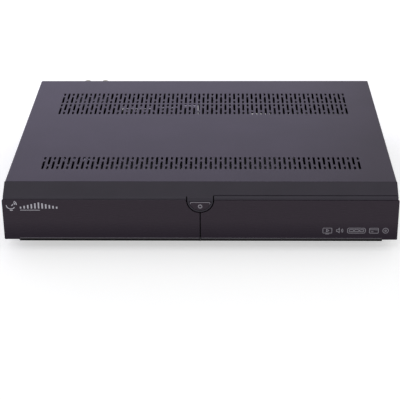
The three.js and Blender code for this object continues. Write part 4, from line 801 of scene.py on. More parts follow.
class RECEIVER_OT_cover_screws(bpy.types.Operator):
    """Crowned screws that hold the cover at its sides"""
    bl_idname = "receiver.cover_screws"
    bl_label = "Cover screws"

    def execute(self, context):
        for end, side in CORNERS:
            low, high = box_of(f"cover_screw_{end}_{side}")
            sign = -1 if side == "left" else 1
            radius = (high[1] - low[1]) / 2
            points, faces = screw_head(radius, 1 * MM, 0.6 * MM, 0.8 * MM)
            head = points[:, AXIS_ORDER["x"]], faces
            shaft = turned([(0, 0), (radius / 2, 0), (radius / 2, -5.4 * MM), (0, -6 * MM)], "x")
            seat = (sign * (COVER_HIGH[0] - 1 * MM), *(low + high)[1:] / 2)
            parts = [(points * (sign, 1, 1) + seat, faces) for points, faces in (head, shaft)]
            add_piece(f"crowned_screw_{end}_{side}", parts, "zinc", f"cover_screw_{end}_{side}")
        return {"FINISHED"}


class RECEIVER_OT_feet(bpy.types.Operator):
    """Turned rubber feet"""
    bl_idname = "receiver.feet"
    bl_label = "Feet"

    def execute(self, context):
        for end, side in CORNERS:
            low, high = box_of(f"foot_{end}_{side}")
            top = high[2] / MM
            # Shares of the radius, and levels in millimetres
            profile = [(0, 3), (0.4, 3), (0.44, 2.6), (0.44, 0.4), (0.49, 0), (0.86, 0), (0.92, 0.25),
                       (0.955, 0.9), (1, top - 0.8), (0.99, top - 0.3), (0.95, top), (0, top)]
            profile = np.array(profile) * ((high[0] - low[0]) / 2, MM)
            foot = turned(profile, "z", (low + high) / 2 * (1, 1, 0))
            add_piece(f"rubber_foot_{end}_{side}", [foot], "rubber", f"foot_{end}_{side}")
        return {"FINISHED"}


# Front

def plate_outline(sizes):
    """The right front plate seen from the front: a rectangle with rounded outer corners, less a quarter
    circle round the tongue."""
    inner, outer = sizes.seam / 2, -PLATE_LOW[0]
    bottom, top = PLATE_LOW[2], PLATE_HIGH[2]
    corner = sizes.corner
    stop = math.degrees(math.acos(inner / sizes.notch))
    return np.concatenate([
        arc((outer - corner, bottom + corner), corner, -90, 0, 4),
        arc((outer - corner, top - corner), corner, 0, 90, 4),
        arc((0, top), sizes.notch, 0, -stop, 28),
        [(inner, bottom)],
    ])


class RECEIVER_OT_moulded_front(bpy.types.Operator):
    """The moulded front with its sloping top and tongue, the door's frame, its pins and its catch, and the
    display tube and board behind"""
    bl_idname = "receiver.moulded_front"
    bl_label = "Moulded front"

    def execute(self, context):
        dress("moulding", 0.3, "front_bezel", "door_frame")
        dress("steel", 0.1, "door_hinge_pin_left", "door_hinge_pin_right")
        dress("black", 0.2, "door_catch")
        dress("glass", 0.4, "display_tube")
        dress("board", 0.1, "front_board")
        return {"FINISHED"}


class RECEIVER_OT_front_plates(bpy.types.Operator):
    """The two smoked plates, of the window and of the door, with rounded edges; along the foot of each a
    dead black strip and a band of black ink, both painted shade, under a grey hairline that is a painted
    highlight; and behind the seam a rib"""
    bl_idname = "receiver.front_plates"
    bl_label = "Front plates"

    def execute(self, context):
        sizes = context.scene.receiver_front
        face, back, foot, top = PLATE_LOW[1], PLATE_HIGH[1], PLATE_LOW[2], PLATE_HIGH[2]
        surface = face + sizes.print_recess
        stations = [*rounding(sizes.edge, surface, 1, 4), (0, back)]
        right = plate_outline(sizes)
        # The window closes up to the slope above it, and the door keeps a gap there
        left = right * (-1, 1)
        left[:, 1] += sizes.window_lift * (left[:, 1] > top - sizes.corner)
        # A dead black strip, painted shade under the plate's foot: L-shaped in section, its short leg hooked
        # on the lip behind the plate
        seal = mm((0.5, -1.4), (1.35, -1.4), (1.55, -0.85), (1.55, -0.25), (0.75, -0.25), (0.5, -0.5))
        seal = seal + (face, foot)
        inner, outer = -PLATE_HIGH[0], -PLATE_LOW[0] - sizes.seal_inset
        for side, outline, start, end, node, body in (
                ("window", left, -outer, -inner, "display_window", "receiver"),
                ("door", right, inner, outer, "door_skin", "door")):
            add_piece(f"{side}_plate", [carried(outline, stations, "y")], "plate", node, body)
            add_piece(f"{side}_seal", [carried(seal, [(0, start), (0, end)], "x")], "seal", None, body)
            # Painted shade and highlight: a band of black ink for the plate's shaded foot, and a grey
            # hairline above it that is a painted highlight
            for ink, low, high in (("black_ink", 0.45, 1.2), ("grey_ink", 1.45, 1.65)):
                low, high = (start, foot) + mm(0.4, low), (end, foot) + mm(-0.4, high)
                line = carried(rounded_rectangle(low, high, 0.08 * MM), [(0, face), (0, surface)], "y")
                add_piece(f"{side}_{ink}_line", [line], ink, None, body)
        # The rib stands on the fixed half and keeps light out of the seam
        rib = block((-inner, back + 0.05 * MM, foot - 2.6 * MM),
                    (inner - 0.15 * MM, back + 6 * MM, top - sizes.notch), 0.1, 0.1, steps=1)
        add_piece("seam_rib", [rib], "seal", slot="dark_moulding")
        return {"FINISHED"}


def pictogram(lines, loops, place, size, width, face, depth):
    """Word-free printing: open lines and closed loops, drawn in shares of the size about a place."""
    return [draw(np.asarray(points, float) * size + place, width, face, depth)
            for draw, outlines in ((stroke, lines), (line_loop, loops)) for points in outlines]


def pictograms():
    """The lines and loops of each pictogram, in a frame one high."""
    circle = arc((0, 0), 0.5, 0, 345, 23)
    frame = rounded_rectangle((-0.8, -0.5), (0.8, 0.5), 0.14)
    ports = [rounded_rectangle((left, -0.2), (right, 0.2), 0.1)
             for left, right in ((-1.3, -0.5), (-0.35, 0.45), (0.6, 1.3))]
    return {
        "dish": ([arc((-0.15, 0.2), 0.62, 185, 325, 14), [(-0.05, 0.05), (0.2, 0.32)],
                  [(-0.3, -0.62), (0.1, -0.62)],
                  arc((0.15, 0.28), 0.28, -10, 70, 6), arc((0.15, 0.28), 0.5, -10, 70, 8)], []),
        "screen": ([[(-0.35, -0.68), (0.35, -0.68)]], [frame, [(-0.16, -0.26), (0.3, 0), (-0.16, 0.26)]]),
        "speaker": ([arc((0.05, 0), 0.32, -45, 45, 6), arc((0.05, 0), 0.55, -45, 45, 8)],
                    [[(-0.55, -0.18), (-0.32, -0.18), (-0.05, -0.46), (-0.05, 0.46), (-0.32, 0.18),
                      (-0.55, 0.18)]]),
        "card": ([[(-0.8, 0.18), (0.8, 0.18)], [(-0.5, -0.2), (-0.1, -0.2)]], [frame]),
        "wide": ([], [rounded_rectangle((-1.6, -0.5), (1.6, 0.5), 0.3), *ports]),
        "disc": ([], [circle, circle * 0.3]),
        "menu": ([[(-0.4, level), (0.4, level)] for level in (-0.3, 0, 0.3)], []),
        "exit": ([[(-0.32, -0.32), (0.32, 0.32)], [(-0.32, 0.32), (0.32, -0.32)]], []),
        "ok": ([], [circle * 0.8]),
        "up": ([], [[(-0.4, -0.28), (0.4, -0.28), (0, 0.4)]]),
        "down": ([], [[(-0.4, 0.28), (0.4, 0.28), (0, -0.4)]]),
    }


class RECEIVER_OT_front_prints(bpy.types.Operator):
    """Word-free pictograms on the window and on the door"""
    bl_idname = "receiver.front_prints"
    bl_label = "Front prints"

    def execute(self, context):
        sizes = context.scene.receiver_front
        shapes = pictograms()
        ink = PLATE_LOW[1], 2 * sizes.print_recess
        left, level = sizes.window_print_left, sizes.window_print_level
        parts = pictogram(*shapes["dish"], (left, level), 6.2 * MM, sizes.heavy_line, *ink)
        # Bars of rising and falling height, as on a signal meter, over a thin line
        foot = level - 2.2 * MM
        for step, height in enumerate((1.8, 2.6, 3.4, 4.2, 5.0, 5.8, 5.0, 4.2, 3.4, 2.6, 1.8)):
            across = left + (7.5 + 3.1 * step) * MM
            parts.append(stroke([(across, foot), (across, foot + height * MM)], 1.3 * MM, *ink))
        line = foot - 1.5 * MM
        parts.append(stroke([(left + 6.9 * MM, line), (left + 24 * MM, line)], sizes.line, *ink))
        add_piece("window_pictogram", parts, "white_ink")

        parts = []
        for name, step in (("screen", 0), ("speaker", 10.5), ("wide", 25), ("card", 40), ("disc", 50)):
            place = (sizes.door_print_left + step * MM, sizes.door_print_level)
            parts += pictogram(*shapes[name], place, 4.8 * MM, sizes.line, *ink)
        add_piece("door_pictograms", parts, "grey_ink", body="door")
        return {"FINISHED"}


class RECEIVER_OT_power_button(bpy.types.Operator):
    """Half-moon power button with its ring mark, and a grey line under its level edge that is a painted
    highlight
    """
    bl_idname = "receiver.power_button"
    bl_label = "Power button"

    def execute(self, context):
        sizes = context.scene.receiver_front
        low, high = box_of("power_button")
        face, back, top = low[1], high[1], high[2]
        centre = top + sizes.button_drop
        tilt = math.degrees(math.asin(sizes.button_drop / sizes.button_radius))
        moon = arc((0, centre), sizes.button_radius, 180 + tilt, 360 - tilt, 40)
        cap = carried(moon, [*rounding(sizes.button_edge, face, 1, 4), (0, face + KEY_DEPTH)], "y")
        stem = [*mm((0, 2), (1.6, 2)) + (0, face), *mm((1.6, -0.3), (1.3, 0), (0, 0)) + (0, back)]
        stem = turned(stem, "y", (0, 0, centre - 5 * MM), 24)
        add_piece("half_moon_button", [cap, stem], "plate", "power_button", "power_key", "dark_moulding")
        middle = np.array((0, top - 4.35 * MM))
        ring = arc(middle, sizes.mark_radius, 112, 428, 40)
        bar = middle + mm((0, 0.7), (0, 1.4), (0, 2.1))
        # A painted highlight: a light grey line under the level edge, turned down round both ends, where the
        # rim would catch the light
        end = sizes.button_radius - 0.85 * MM
        right = mm((-0.5, -2.1), (-0.1, -1.2), (-0.5, -0.6)) + (end, top)
        line = np.concatenate([right, right[::-1] * (-1, 1)])
        ink = face - sizes.print_recess, 2 * sizes.print_recess
        marks = [stroke(points, width, *ink) for points, width in (
            (ring, sizes.heavy_line), (bar, sizes.heavy_line), (line, sizes.line))]
        add_piece("power_mark", marks, "grey_ink", None, "power_key", "dark_moulding")
        return {"FINISHED"}


class RECEIVER_OT_control_keys(bpy.types.Operator):
    """Five crowned keys behind the door, each with its mark, and the two eject keys"""
    bl_idname = "receiver.control_keys"
    bl_label = "Control keys"

    def execute(self, context):
        shapes = pictograms()
        for name in ("menu", "exit", "ok", "up", "down"):
            low, high = box_of(f"{name}_button")
            centre, flange = (low + high) / 2 * (1, 0, 1), (high[0] - low[0]) / 2
            # Radius, and distance behind the crown or before the stem's end
            crown = mm((0, 0), (1.2, 0.03), (2.1, 0.12), (2.7, 0.3), (3, 0.6), (3.1, 1), (3.1, 4.1))
            crown, stem = crown + (0, low[1]), mm((1.2, -0.5), (1.2, 0), (0, 0)) + (0, high[1])
            key = turned([*crown, (flange, crown[-1, 1]), (flange, stem[0, 1]), *stem], "y", centre, 40)
            add_piece(f"{name}_key", [key], "black", f"{name}_button", f"{name}_key")
            mark = pictogram(*shapes[name], centre[[0, 2]], *mm(2.6, 0.35), low[1] - 0.02 * MM, 0.2 * MM)
            add_piece(f"{name}_mark", mark, "white_ink", None, f"{name}_key", "black_plastic")
        for place in ("lower", "upper"):
            low, high = box_of(f"eject_button_{place}")
            x, _, z = (low + high) / 2
            cap = block(low, (high[0], low[1] + KEY_DEPTH, high[2]), 0.8, 0.5, "y")
            rod = block((x - MM, low[1] + 5 * MM, z - MM), (x + MM, high[1], z + MM), 0.2, 0.2, "y", 1)
            add_piece(f"eject_key_{place}", [cap, rod], "black", f"eject_button_{place}", f"eject_{place}")
        return {"FINISHED"}


class RECEIVER_OT_card_slots(bpy.types.Operator):
    """Module slots, card readers and the front data socket, with the contacts in its mouth"""
    bl_idname = "receiver.card_slots"
    bl_label = "Card slots"

    def execute(self, context):
        dress("tin", 0.15, "module_slot_lower", "module_slot_upper", "front_data_socket")
        dress("black", 0.15, "card_reader_lower", "card_reader_upper")
        low, high = box_of("front_data_socket")
        data_tongue("front_data", (low[0] + high[0]) / 2, low[1], low[2] + 3.7 * MM, 1)
        return {"FINISHED"}


def tongue(name, finish, low, high, rims, places, contact, ends, layers):
    """The contact tongue in the mouth of a socket: a rounded bar, and gilt contacts at places across it,
    each from one end to the other and between two levels in every layer."""
    add_piece(f"{name}_tongue", [block(low, high, *rims, "y", 2)], finish)
    near, far = sorted(ends)
    gilt = boxes([(x - contact / 2, near, bottom) for bottom, _ in layers for x in places],
                 [(x + contact / 2, far, top) for _, top in layers for x in places])
    add_piece(f"{name}_contacts", [gilt], "gold")


def data_tongue(name, across, face, level, way):
    """A data socket's tongue, with four contacts below it. Way is 1 where the mouth opens to the front and
    -1 where it opens to the rear."""
    centre = level + 0.45 * MM
    near, far = sorted((face + way * 0.85 * MM, face + way * 10 * MM))
    tongue(name, "grey", (across - 5.65 * MM, near, centre - 0.95 * MM),
           (across + 5.65 * MM, far, centre + 0.95 * MM), (0.3, 0.3), across + mm(-3.5, -1, 1, 3.5), 1 * MM,
           (face + way * 1.6 * MM, face + way * 9 * MM), [(centre - 1.08 * MM, centre - 0.9 * MM)])


# Boards

def screw_and_shaft(x, y, top):
    """A board's crowned screw: its head on the board, its shaft down through it."""
    points, faces = screw_head(2.7 * MM, 0.9 * MM, 0.5 * MM, 0.6 * MM)
    shaft = mm((0, -5), (1.4, -5), (1.4, 0.2), (0, 0.2)) + (0, top)
    return [(points + (x, y, top), faces), turned(shaft, "z", (x, y, 0), 16)]


def add_board(node, screws, inset):
    """A board's sheet with rounded corners and rims, and a screw at each of its corners. Gives the level of
    the sheet's upper face."""
    low, high = box_of(node)
    top = low[2] + BOARD_SHEET
    add_piece(f"{node}_sheet", [block(low, (high[0], high[1], top), 1.2, 0.12)], "board", node)
    (left, front), (right, back) = low[:2] + inset, high[:2] - inset
    places = [(x, y) for x in (left, right) for y in (front, back)]
    add_piece(screws, [part for place in places for part in screw_and_shaft(*place, top)], "steel")
    return top


def capacitor(centre, base, radius, height):
    """A can in its sleeve, and the bare aluminium of its top inside the sleeve's rolled rim, scored with
    three lines. The profile is drawn in where the can is crimped near its foot. Radius and height are in
    millimetres."""
    crimp = min(0.07 * radius, 0.5)
    sleeve = mm((0, 0), (radius - 0.3, 0), (radius, 0.3), (radius, 1.4), (radius - crimp, 1.9),
                (radius, 2.4), (radius, height - 0.6), (radius - 0.25, height - 0.1),
                (radius - 0.7, height), (0.8 * radius, height - 0.3), (0, height - 0.3))
    lid = mm((0, -0.35), (0.78 * radius, -0.35), (0.78 * radius, -0.2), (0.72 * radius, -0.1), (0, -0.1))
    place, top = (*centre, base), height * MM
    scores = [stroke([centre, arc(centre, 0.6 * radius * MM, turn, turn, 1)[0]], 0.3 * MM,
                     base + top - 0.12 * MM, 0.04 * MM, "z") for turn in (0, 120, 240)]
    return turned(sleeve, "z", place, 40), [turned(lid + (0, top), "z", place, 40), *scores]


def add_capacitors(sleeves, tops, cans, node=None):
    """Two pieces: the sleeves of all these capacitors, and their tops."""
    add_piece(sleeves, [sleeve for sleeve, _ in cans], "sleeve", node)
    add_piece(tops, [part for _, parts in cans for part in parts], "aluminium")


def chip(centre, base, size, height, sides, pitch):
    """A moulded package, and its leads: bars that stand out from two or four of its sides."""
    half = size / 2
    body = block((*centre - half, base + 0.1 * MM), (*centre + half, base + height), 0.3, 0.2, steps=1)
    low, high = [], []
    for along in range(sides // 2):
        count = int((size[along] - 2 * MM) / pitch) + 1
        reach = mm(0.18, 0.6)[[along, 1 - along]]
        for way in (-1, 1):
            middle = np.tile(centre, (count, 1))
            middle[:, along] += (np.arange(count) - (count - 1) / 2) * pitch
            middle[:, 1 - along] += way * (half[1 - along] + 0.45 * MM)
            low.append(np.insert(middle - reach, 2, base, axis=1))
            high.append(np.insert(middle + reach, 2, base + 0.22 * MM, axis=1))
    return body, boxes(np.concatenate(low), np.concatenate(high))


class RECEIVER_OT_main_board(bpy.types.Operator):
    """Main board with its processor, chips, capacitors and screws, the heat sink, and the slots' board"""
    bl_idname = "receiver.main_board"
    bl_label = "Main board"

    def execute(self, context):
        sizes = context.scene.receiver_boards
        base = add_board("main_board", "main_board_sheet_screws", sizes.screw_inset)
        add_board("slot_board", "slot_board_sheet_screws", sizes.screw_inset)
        # Shares of the board across and back, and sizes in chip units; square chips have leads all round
        rows = [(0.46, 0.22, 1, 1.3), (0.58, 0.22, 1, 1.3), (0.7, 0.22, 1, 1.3), (0.82, 0.22, 1, 1.3),
                (0.85, 0.46, 1.6, 1.6), (0.82, 0.7, 1.2, 1.2), (0.3, 0.34, 1.7, 1.2), (0.14, 0.4, 1.4, 1.4)]
        chips = [chip(on_board("main_board", row[:2])[0], base, np.array(row[2:]) * sizes.chip_unit,
                      sizes.chip_height, 4 if row[2] == row[3] else 2, 0.8 * MM) for row in rows]
        centre, half = on_board("main_board", (0.62, 0.52))[0], 17.5 * MM
        processor = block((*centre - half, base), (*centre + half, base + 2.2 * MM), 1, 0.3)
        add_piece("main_chips", [body for body, _ in chips] + [processor], "epoxy")
        add_piece("main_chip_leads", [leads for _, leads in chips], "tin")
        places = on_board("main_board", (0.08, 0.2), (0.14, 0.2), (0.2, 0.2), (0.32, 0.58), (0.38, 0.78),
                          (0.7, 0.76), (0.93, 0.42), (0.93, 0.62))
        add_capacitors("main_capacitor_sleeves", "main_capacitor_tops",
                       [capacitor(place, base, 4, 11) for place in places])
        dress("aluminium", 0.15, "processor_heat_sink")
        dress("zinc", 0.15, "disk_bracket")
        dress("ribbon", 0.15, "front_ribbon")
        return {"FINISHED"}


class RECEIVER_OT_power_supply(bpy.types.Operator):
    """Power board with its transformer, capacitors and heat sink, and the lead to the main board"""
    bl_idname = "receiver.power_supply"
    bl_label = "Power supply"

    def execute(self, context):
        base = add_board("power_board", "power_board_screws", context.scene.receiver_boards.screw_inset)
        low, high = box_of("power_capacitor")
        width, _, height = (high - low) / MM
        add_capacitors("power_can_sleeve", "power_can_top",
                       [capacitor((low + high)[:2] / 2, low[2], width / 2, height)], "power_capacitor")
        places = on_board("power_board", (0.2, 0.12), (0.4, 0.12), (0.6, 0.12))
        add_capacitors("small_can_sleeves", "small_can_tops",
                       [capacitor(place, base, 5, 20) for place in places])
        low, high = box_of("power_transformer")
        for name, inset, rims, finish, node in (
                ("transformer_winding", mm(0, 4.5, 0), (3, 1.2), "tape", "power_transformer"),
                ("transformer_core", mm(4.5, 0, 4.5), (0.8, 0.4), "ferrite", None)):
            add_piece(name, [block(low + inset, high - inset, *rims)], finish, node)
        dress("aluminium", 0.15, "power_heat_sink")
        dress("lead", 0.3, "power_lead")
        return {"FINISHED"}


# Rear

class RECEIVER_OT_tuners(bpy.types.Operator):
    """Two tuner cans, their threaded aerial barrels with white insulators, and the nuts that hold them"""
    bl_idname = "receiver.tuners"
    bl_label = "Tuners"

    def execute(self, context):
        sizes = context.scene.receiver_rear
        radius, pitch, steps = sizes.barrel_radius, sizes.thread_pitch, 48
        bore = radius - 1 * MM
        for side in ("left", "right"):
            low, high = box_of(f"tuner_{side}")
            tip = high[1]
            outline = rounded_rectangle(low[:2], (high[0], PANEL_FRONT), 0.6 * MM)
            # The lid's lip stands proud all round below the top: inset and level
            stations = np.concatenate([mm((0.5, 0), (0.25, 0.25)) + (0, low[2]),
                                       mm((0.25, -3.4), (0, -3.3), (0, -0.3), (0.3, 0)) + (0, high[2])])
            # The can's dark grey is painted shade for the inside of the case
            add_piece(f"tuner_can_{side}", [carried(outline, stations, "z")], "shade_darkened_tin", f"tuner_{side}")
            levels = np.linspace(PANEL_REAR + 0.3 * MM, tip, int((tip - PANEL_REAR) / pitch * 8))
            start = PANEL_FRONT - 0.2 * MM
            rows = [(0, start), (radius, start), *((radius, level) for level in levels),
                    (radius - 0.9 * MM, tip), (bore, tip - 0.2 * MM), (bore, tip - 9 * MM),
                    (0, tip - 9 * MM)]
            relief = np.zeros((len(rows), steps))
            relief[2:2 + len(levels)] = thread_relief(levels, pitch, sizes.thread_depth, steps)
            # Radius, and level from the insulator's face
            fill, face = bore - 0.02 * MM, tip - 0.5 * MM
            white = [(0, face - 9 * MM), (fill, face - 9 * MM), (fill, face),
                     *mm((1.7, 0), (1.1, -0.5), (1.1, -8), (0, -8)) + (0, face)]
            barrels, insulators = [], []
            for place in ("lower", "upper"):
                node = f"aerial_nut_{side}_{place}"
                near, far = box_of(node)
                centre = (near + far) / 2 * (1, 0, 1)
                barrels.append(turned(rows, "y", centre, steps, relief))
                insulators.append(turned(white, "y", centre, 40))
                nut = hexagonal_nut(far[2] - near[2], radius - 0.2 * MM, near[1], far[1], centre)
                add_piece(f"barrel_nut_{side}_{place}", [nut], "nickel", node)
            add_piece(f"aerial_barrels_{side}", barrels, "nickel")
            add_piece(f"aerial_insulators_{side}", insulators, "white")
        return {"FINISHED"}


class RECEIVER_OT_jacks(bpy.types.Operator):
    """Two rows of three jacks: a moulded body, plated sleeves and coloured rings"""
    bl_idname = "receiver.jacks"
    bl_label = "Jacks"

    def execute(self, context):
        sizes = context.scene.receiver_rear
        rows = {"component": ("green", "blue", "red"), "sound": ("yellow", "white", "red")}
        for row, colours in rows.items():
            low, high = box_of(f"{row}_jacks")
            body = block(low, (high[0], PANEL_FRONT, high[2]), 0.6, 0.3, "y")
            add_piece(f"{row}_jack_body", [body], "black", f"{row}_jacks")
            tip, outer = high[1], sizes.jack_radius
            inner = outer - 0.6 * MM
            sleeve = [(inner, PANEL_FRONT), (outer, PANEL_FRONT), (outer, tip - 0.25 * MM),
                      (outer - 0.2 * MM, tip), (inner + 0.15 * MM, tip), (inner, tip - 0.2 * MM),
                      (inner, PANEL_FRONT)]
            ring = [(0, PANEL_FRONT), (inner, PANEL_FRONT), (inner, tip - 0.6 * MM),
                    (inner - 0.3 * MM, tip - 0.4 * MM), *mm((2, -0.4), (1.7, -0.7)) + (0, tip),
                    *mm((1.7, 1), (0, 1)) + (0, PANEL_FRONT)]
            sleeves = []
            for step, shade in zip((1, 0, -1), colours):
                centre = (low + high) / 2 * (1, 0, 1) + (step * sizes.jack_pitch, 0, 0)
                sleeves.append(turned(sleeve, "y", centre, 40))
                add_piece(f"{row}_jack_ring_{shade}", [turned(ring, "y", centre, 40)], shade)
            add_piece(f"{row}_jack_sleeves", sleeves, "nickel")
        return {"FINISHED"}


class RECEIVER_OT_rear_sockets(bpy.types.Operator):
    """Serial, network, data, disk, video and optical sockets, with their contacts"""
    bl_idname = "receiver.rear_sockets"
    bl_label = "Rear sockets"

    def execute(self, context):
        dress("tin", 0.15, "network_socket", "rear_data_socket", "video_socket")
        dress("black", 0.15, "disk_data_socket", "optical_socket")
        self.serial()
        low, high = box_of("network_socket")
        (x, _, z), face = (low + high) / 2, high[1]
        floor = z - 5.1 * MM
        across = x + (np.arange(8) - 3.5) * 1.02 * MM
        wires = boxes([(x - 0.2 * MM, face - 11 * MM, floor + 0.6 * MM) for x in across],
                      [(x + 0.2 * MM, face - 1.2 * MM, floor + 1.1 * MM) for x in across])
        add_piece("network_contacts", [wires], "gold")
        low, high = box_of("rear_data_socket")
        x, _, z = (low + high) / 2
        for name, way in (("lower", -1), ("upper", 1)):
            data_tongue(f"rear_data_{name}", x, high[1], z + way * 3.7 * MM, -1)
        self.row("video", "video_socket", 10.7 * MM, 1.4 * MM, 0.1 * MM, 10, 1 * MM)
        self.row("disk", "disk_data_socket", 8.3 * MM, 1.1 * MM, 1 * MM, 7, 1.1 * MM)
        low, high = box_of("optical_socket")
        x, _, z = (low + high) / 2
        face, reach = high[1] - 2.2 * MM, 3.2 * MM
        shutter = block((x - reach, face - 1 * MM, z - reach), (x + reach, face, z + reach), 0.5, 0.3, "y")
        add_piece("optical_shutter", [shutter], "grey")
        return {"FINISHED"}

    def row(self, name, node, width, height, recess, count, pitch):
        """A tongue in the middle of a socket, with contacts above and below it."""
        low, high = box_of(node)
        (x, _, z), face = (low + high) / 2, high[1] - recess
        places = x + (np.arange(count) - (count - 1) / 2) * pitch
        above, below = z + height / 2, z - height / 2
        tongue(name, "black", (x - width / 2, face - 6 * MM, below),
               (x + width / 2, face + 0.03 * MM, above), (0.2, 0.15), places, 0.4 * MM,
               (face - 5.5 * MM, face - 0.6 * MM), [(above, above + 0.1 * MM), (below - 0.1 * MM, below)])

    def serial(self):
        """A slanted shell round nine pins, between two hexagonal nuts."""
        low, high = box_of("serial_socket")
        face, tip = high[1] - 6 * MM, high[1]
        middle = (low + high) / 2 * (1, 0, 1)
        flange = block(low, (high[0], face, high[2]), 0.8, 0.3, "y")
        slanted = mm((-8.45, 4.2), (-6.94, -4.2), (6.94, -4.2), (8.45, 4.2)) + middle[[0, 2]]
        slanted = softened(slanted, 1.2 * MM)
        rim = mm((0, -0.1), (0.1, 0), (0.4, 0), (0.5, -0.1)) + (0, tip)
        shell = carried(slanted, [(0, face), *rim, (0.5 * MM, face)], "y", loop=True)
        add_piece("serial_shell", [flange, shell], "tin", "serial_socket")
        insert = carried(slanted, mm((0.52, -0.1), (0.52, 0.9), (0.7, 1)) + (0, face), "y")
        add_piece("serial_insert", [insert], "black")
        pin = [(0, face), (0.5 * MM, face), *mm((0.5, -0.9), (0.3, -0.5), (0, -0.4)) + (0, tip)]
        add_piece("serial_pins", [
            turned(pin, "y", middle + mm((step - (count - 1) / 2) * 2.76, 0, level), 16)
            for count, level in ((5, 1.42), (4, -1.42)) for step in range(count)], "gold")
        nuts = [hexagonal_nut(4.9 * MM, 1.4 * MM, face, face + 5 * MM, middle + mm(x, 0, 0))
                for x in (-12.5, 12.5)]
        add_piece("serial_nuts", nuts, "nickel")


def softened(corners, radius, steps=4):
    """An outline whose corners are drawn as parabolas: each starts and ends the radius away along its two
    sides, and bends towards the corner."""
    corners = np.asarray(corners, float)
    before = np.roll(corners, 1, axis=0) - corners
    after = np.roll(corners, -1, axis=0) - corners
    first = corners + radius * before / np.linalg.norm(before, axis=1, keepdims=True)
    last = corners + radius * after / np.linalg.norm(after, axis=1, keepdims=True)
    share = np.linspace(0, 1, steps + 1)[None, :, None]
    first, corners, last = first[:, None], corners[:, None], last[:, None]
    bend = (1 - share) ** 2 * first + 2 * share * (1 - share) * corners + share ** 2 * last
    return bend.reshape(-1, 2)


class RECEIVER_OT_mains(bpy.types.Operator):
    """Mains inlet with its blades, and the rocker switch with its two marks"""
    bl_idname = "receiver.mains"
    bl_label = "Mains inlet and switch"

    def execute(self, context):
        dress("black", 0.4, "mains_inlet", "mains_switch_body", "mains_switch_rocker")
        low, high = box_of("mains_inlet")
        blades = []
        for across, level in ((-7, -2), (7, -2), (0, 2)):
            x, _, z = (low + high) / 2 + mm(across, 0, level)
            blades.append(block((x - 1.02 * MM, high[1] - 17.5 * MM, z - 2.02 * MM),
                                (x + 1.02 * MM, high[1] - 1.58 * MM, z + 2.02 * MM), 0.4, 0.3, "y", 2))
        add_piece("mains_blades", blades, "nickel")
        joint = next(joint for joint in frame["joints"] if joint["name"] == "rocker_tilt")
        pivot, reach = np.array(joint["pos_m"]), mm(0, 3, 0)
        rest, slope = math.radians(-9), math.atan2(1.2, 7.6)
        ink = -0.02 * MM, 0.05 * MM
        on = stroke(mm((4.6, -2), (4.6, 2)), 0.6 * MM, *ink)
        off = line_loop(arc(mm(-4.4, 0), 1.7 * MM, 0, 345, 23), 0.5 * MM, *ink)
        # Each mark lies on its own half of the rocker, which slopes away from the middle
        marks = [(swung(swung(points, way * slope) + reach, rest) + pivot, faces)
                 for (points, faces), way in ((on, 1), (off, -1))]
        add_piece("rocker_marks", marks, "white_ink", None, "rocker", "black_plastic")
        return {"FINISHED"}


# Stage

FLOOR_GLOW = 0.52
SENSOR_WIDTH = 36
# Each lamp's place in metres and its tint: a faintly cool one high in front, a bluish one low behind
FRONT_LAMP = (-0.25, -1.9, 2.1), (0.9, 0.94, 1.0)
BACK_LAMP = (-0.3, 0.65, 0.3), (0.66, 0.6, 1.0)


class RECEIVER_OT_stage(bpy.types.Operator):
    """Pale floor, white backdrop, soft light from all round and from two lamps, and the camera"""
    bl_idname = "receiver.stage"
    bl_label = "Stage"

    def execute(self, context):
        scene, settings = context.scene, context.scene.receiver_stage
        half = settings.floor / 2
        mesh = bpy.data.meshes.new("studio_floor")
        mesh.from_pydata([(-half, -half, 0), (half, -half, 0), (half, half, 0), (-half, half, 0)], [],
                         [(0, 1, 2, 3)])
        mesh.materials.append(studio_floor())
        floor = bpy.data.objects.new("studio_floor", mesh)
        scene.collection.objects.link(floor)
        scene.world = studio_world(settings.dome)
        size = (settings.front_lamp_size, settings.front_lamp_size)
        soft_lamp("front_lamp", settings.front_lamp, size, *FRONT_LAMP)
        size = (settings.back_lamp_width, settings.back_lamp_height)
        soft_lamp("back_lamp", settings.back_lamp, size, *BACK_LAMP)
        scene.view_settings.view_transform = "Standard"
        scene.camera = photograph_camera(settings)
        return {"FINISHED"}


def soft_lamp(name, power, size, place, shade):
    """A lamp that faces the receiver, out of the camera's sight."""
    lamp = bpy.data.lights.new(name, "AREA")
    lamp.energy = power
    lamp.shape = "RECTANGLE"
    lamp.size, lamp.size_y = size
    lamp.color = shade
    holder = bpy.data.objects.new(name, lamp)
    holder.location = place
    holder.rotation_euler = (-Vector(place)).to_track_quat("-Z", "Y").to_euler()
    holder.visible_camera = False
    bpy.context.scene.collection.objects.link(holder)


def seen_directly(tree):
    """1 for what the camera, a gloss or a clear material sees, and 0 for light that falls on the object."""
    path = add(tree, "ShaderNodeLightPath").outputs
    seen = path["Is Camera Ray"]
    for other in ("Is Glossy Ray", "Is Transmission Ray"):
        seen = add(tree, "ShaderNodeMath", {0: seen, 1: path[other]}, operation="MAXIMUM").outputs[0]
    return seen


def studio_world(level):
    """White where it is seen, and a softer level of light on the object."""
    world = bpy.data.worlds.new("studio")
    world.use_nodes = True
    tree = world.node_tree
    strength = add(tree, "ShaderNodeMapRange", {0: seen_directly(tree), 3: level, 4: 1.0}).outputs[0]
    background = tree.nodes["Background"]
    background.inputs["Color"].default_value = (1, 1, 1, 1)
    tree.links.new(strength, background.inputs["Strength"])
    return world


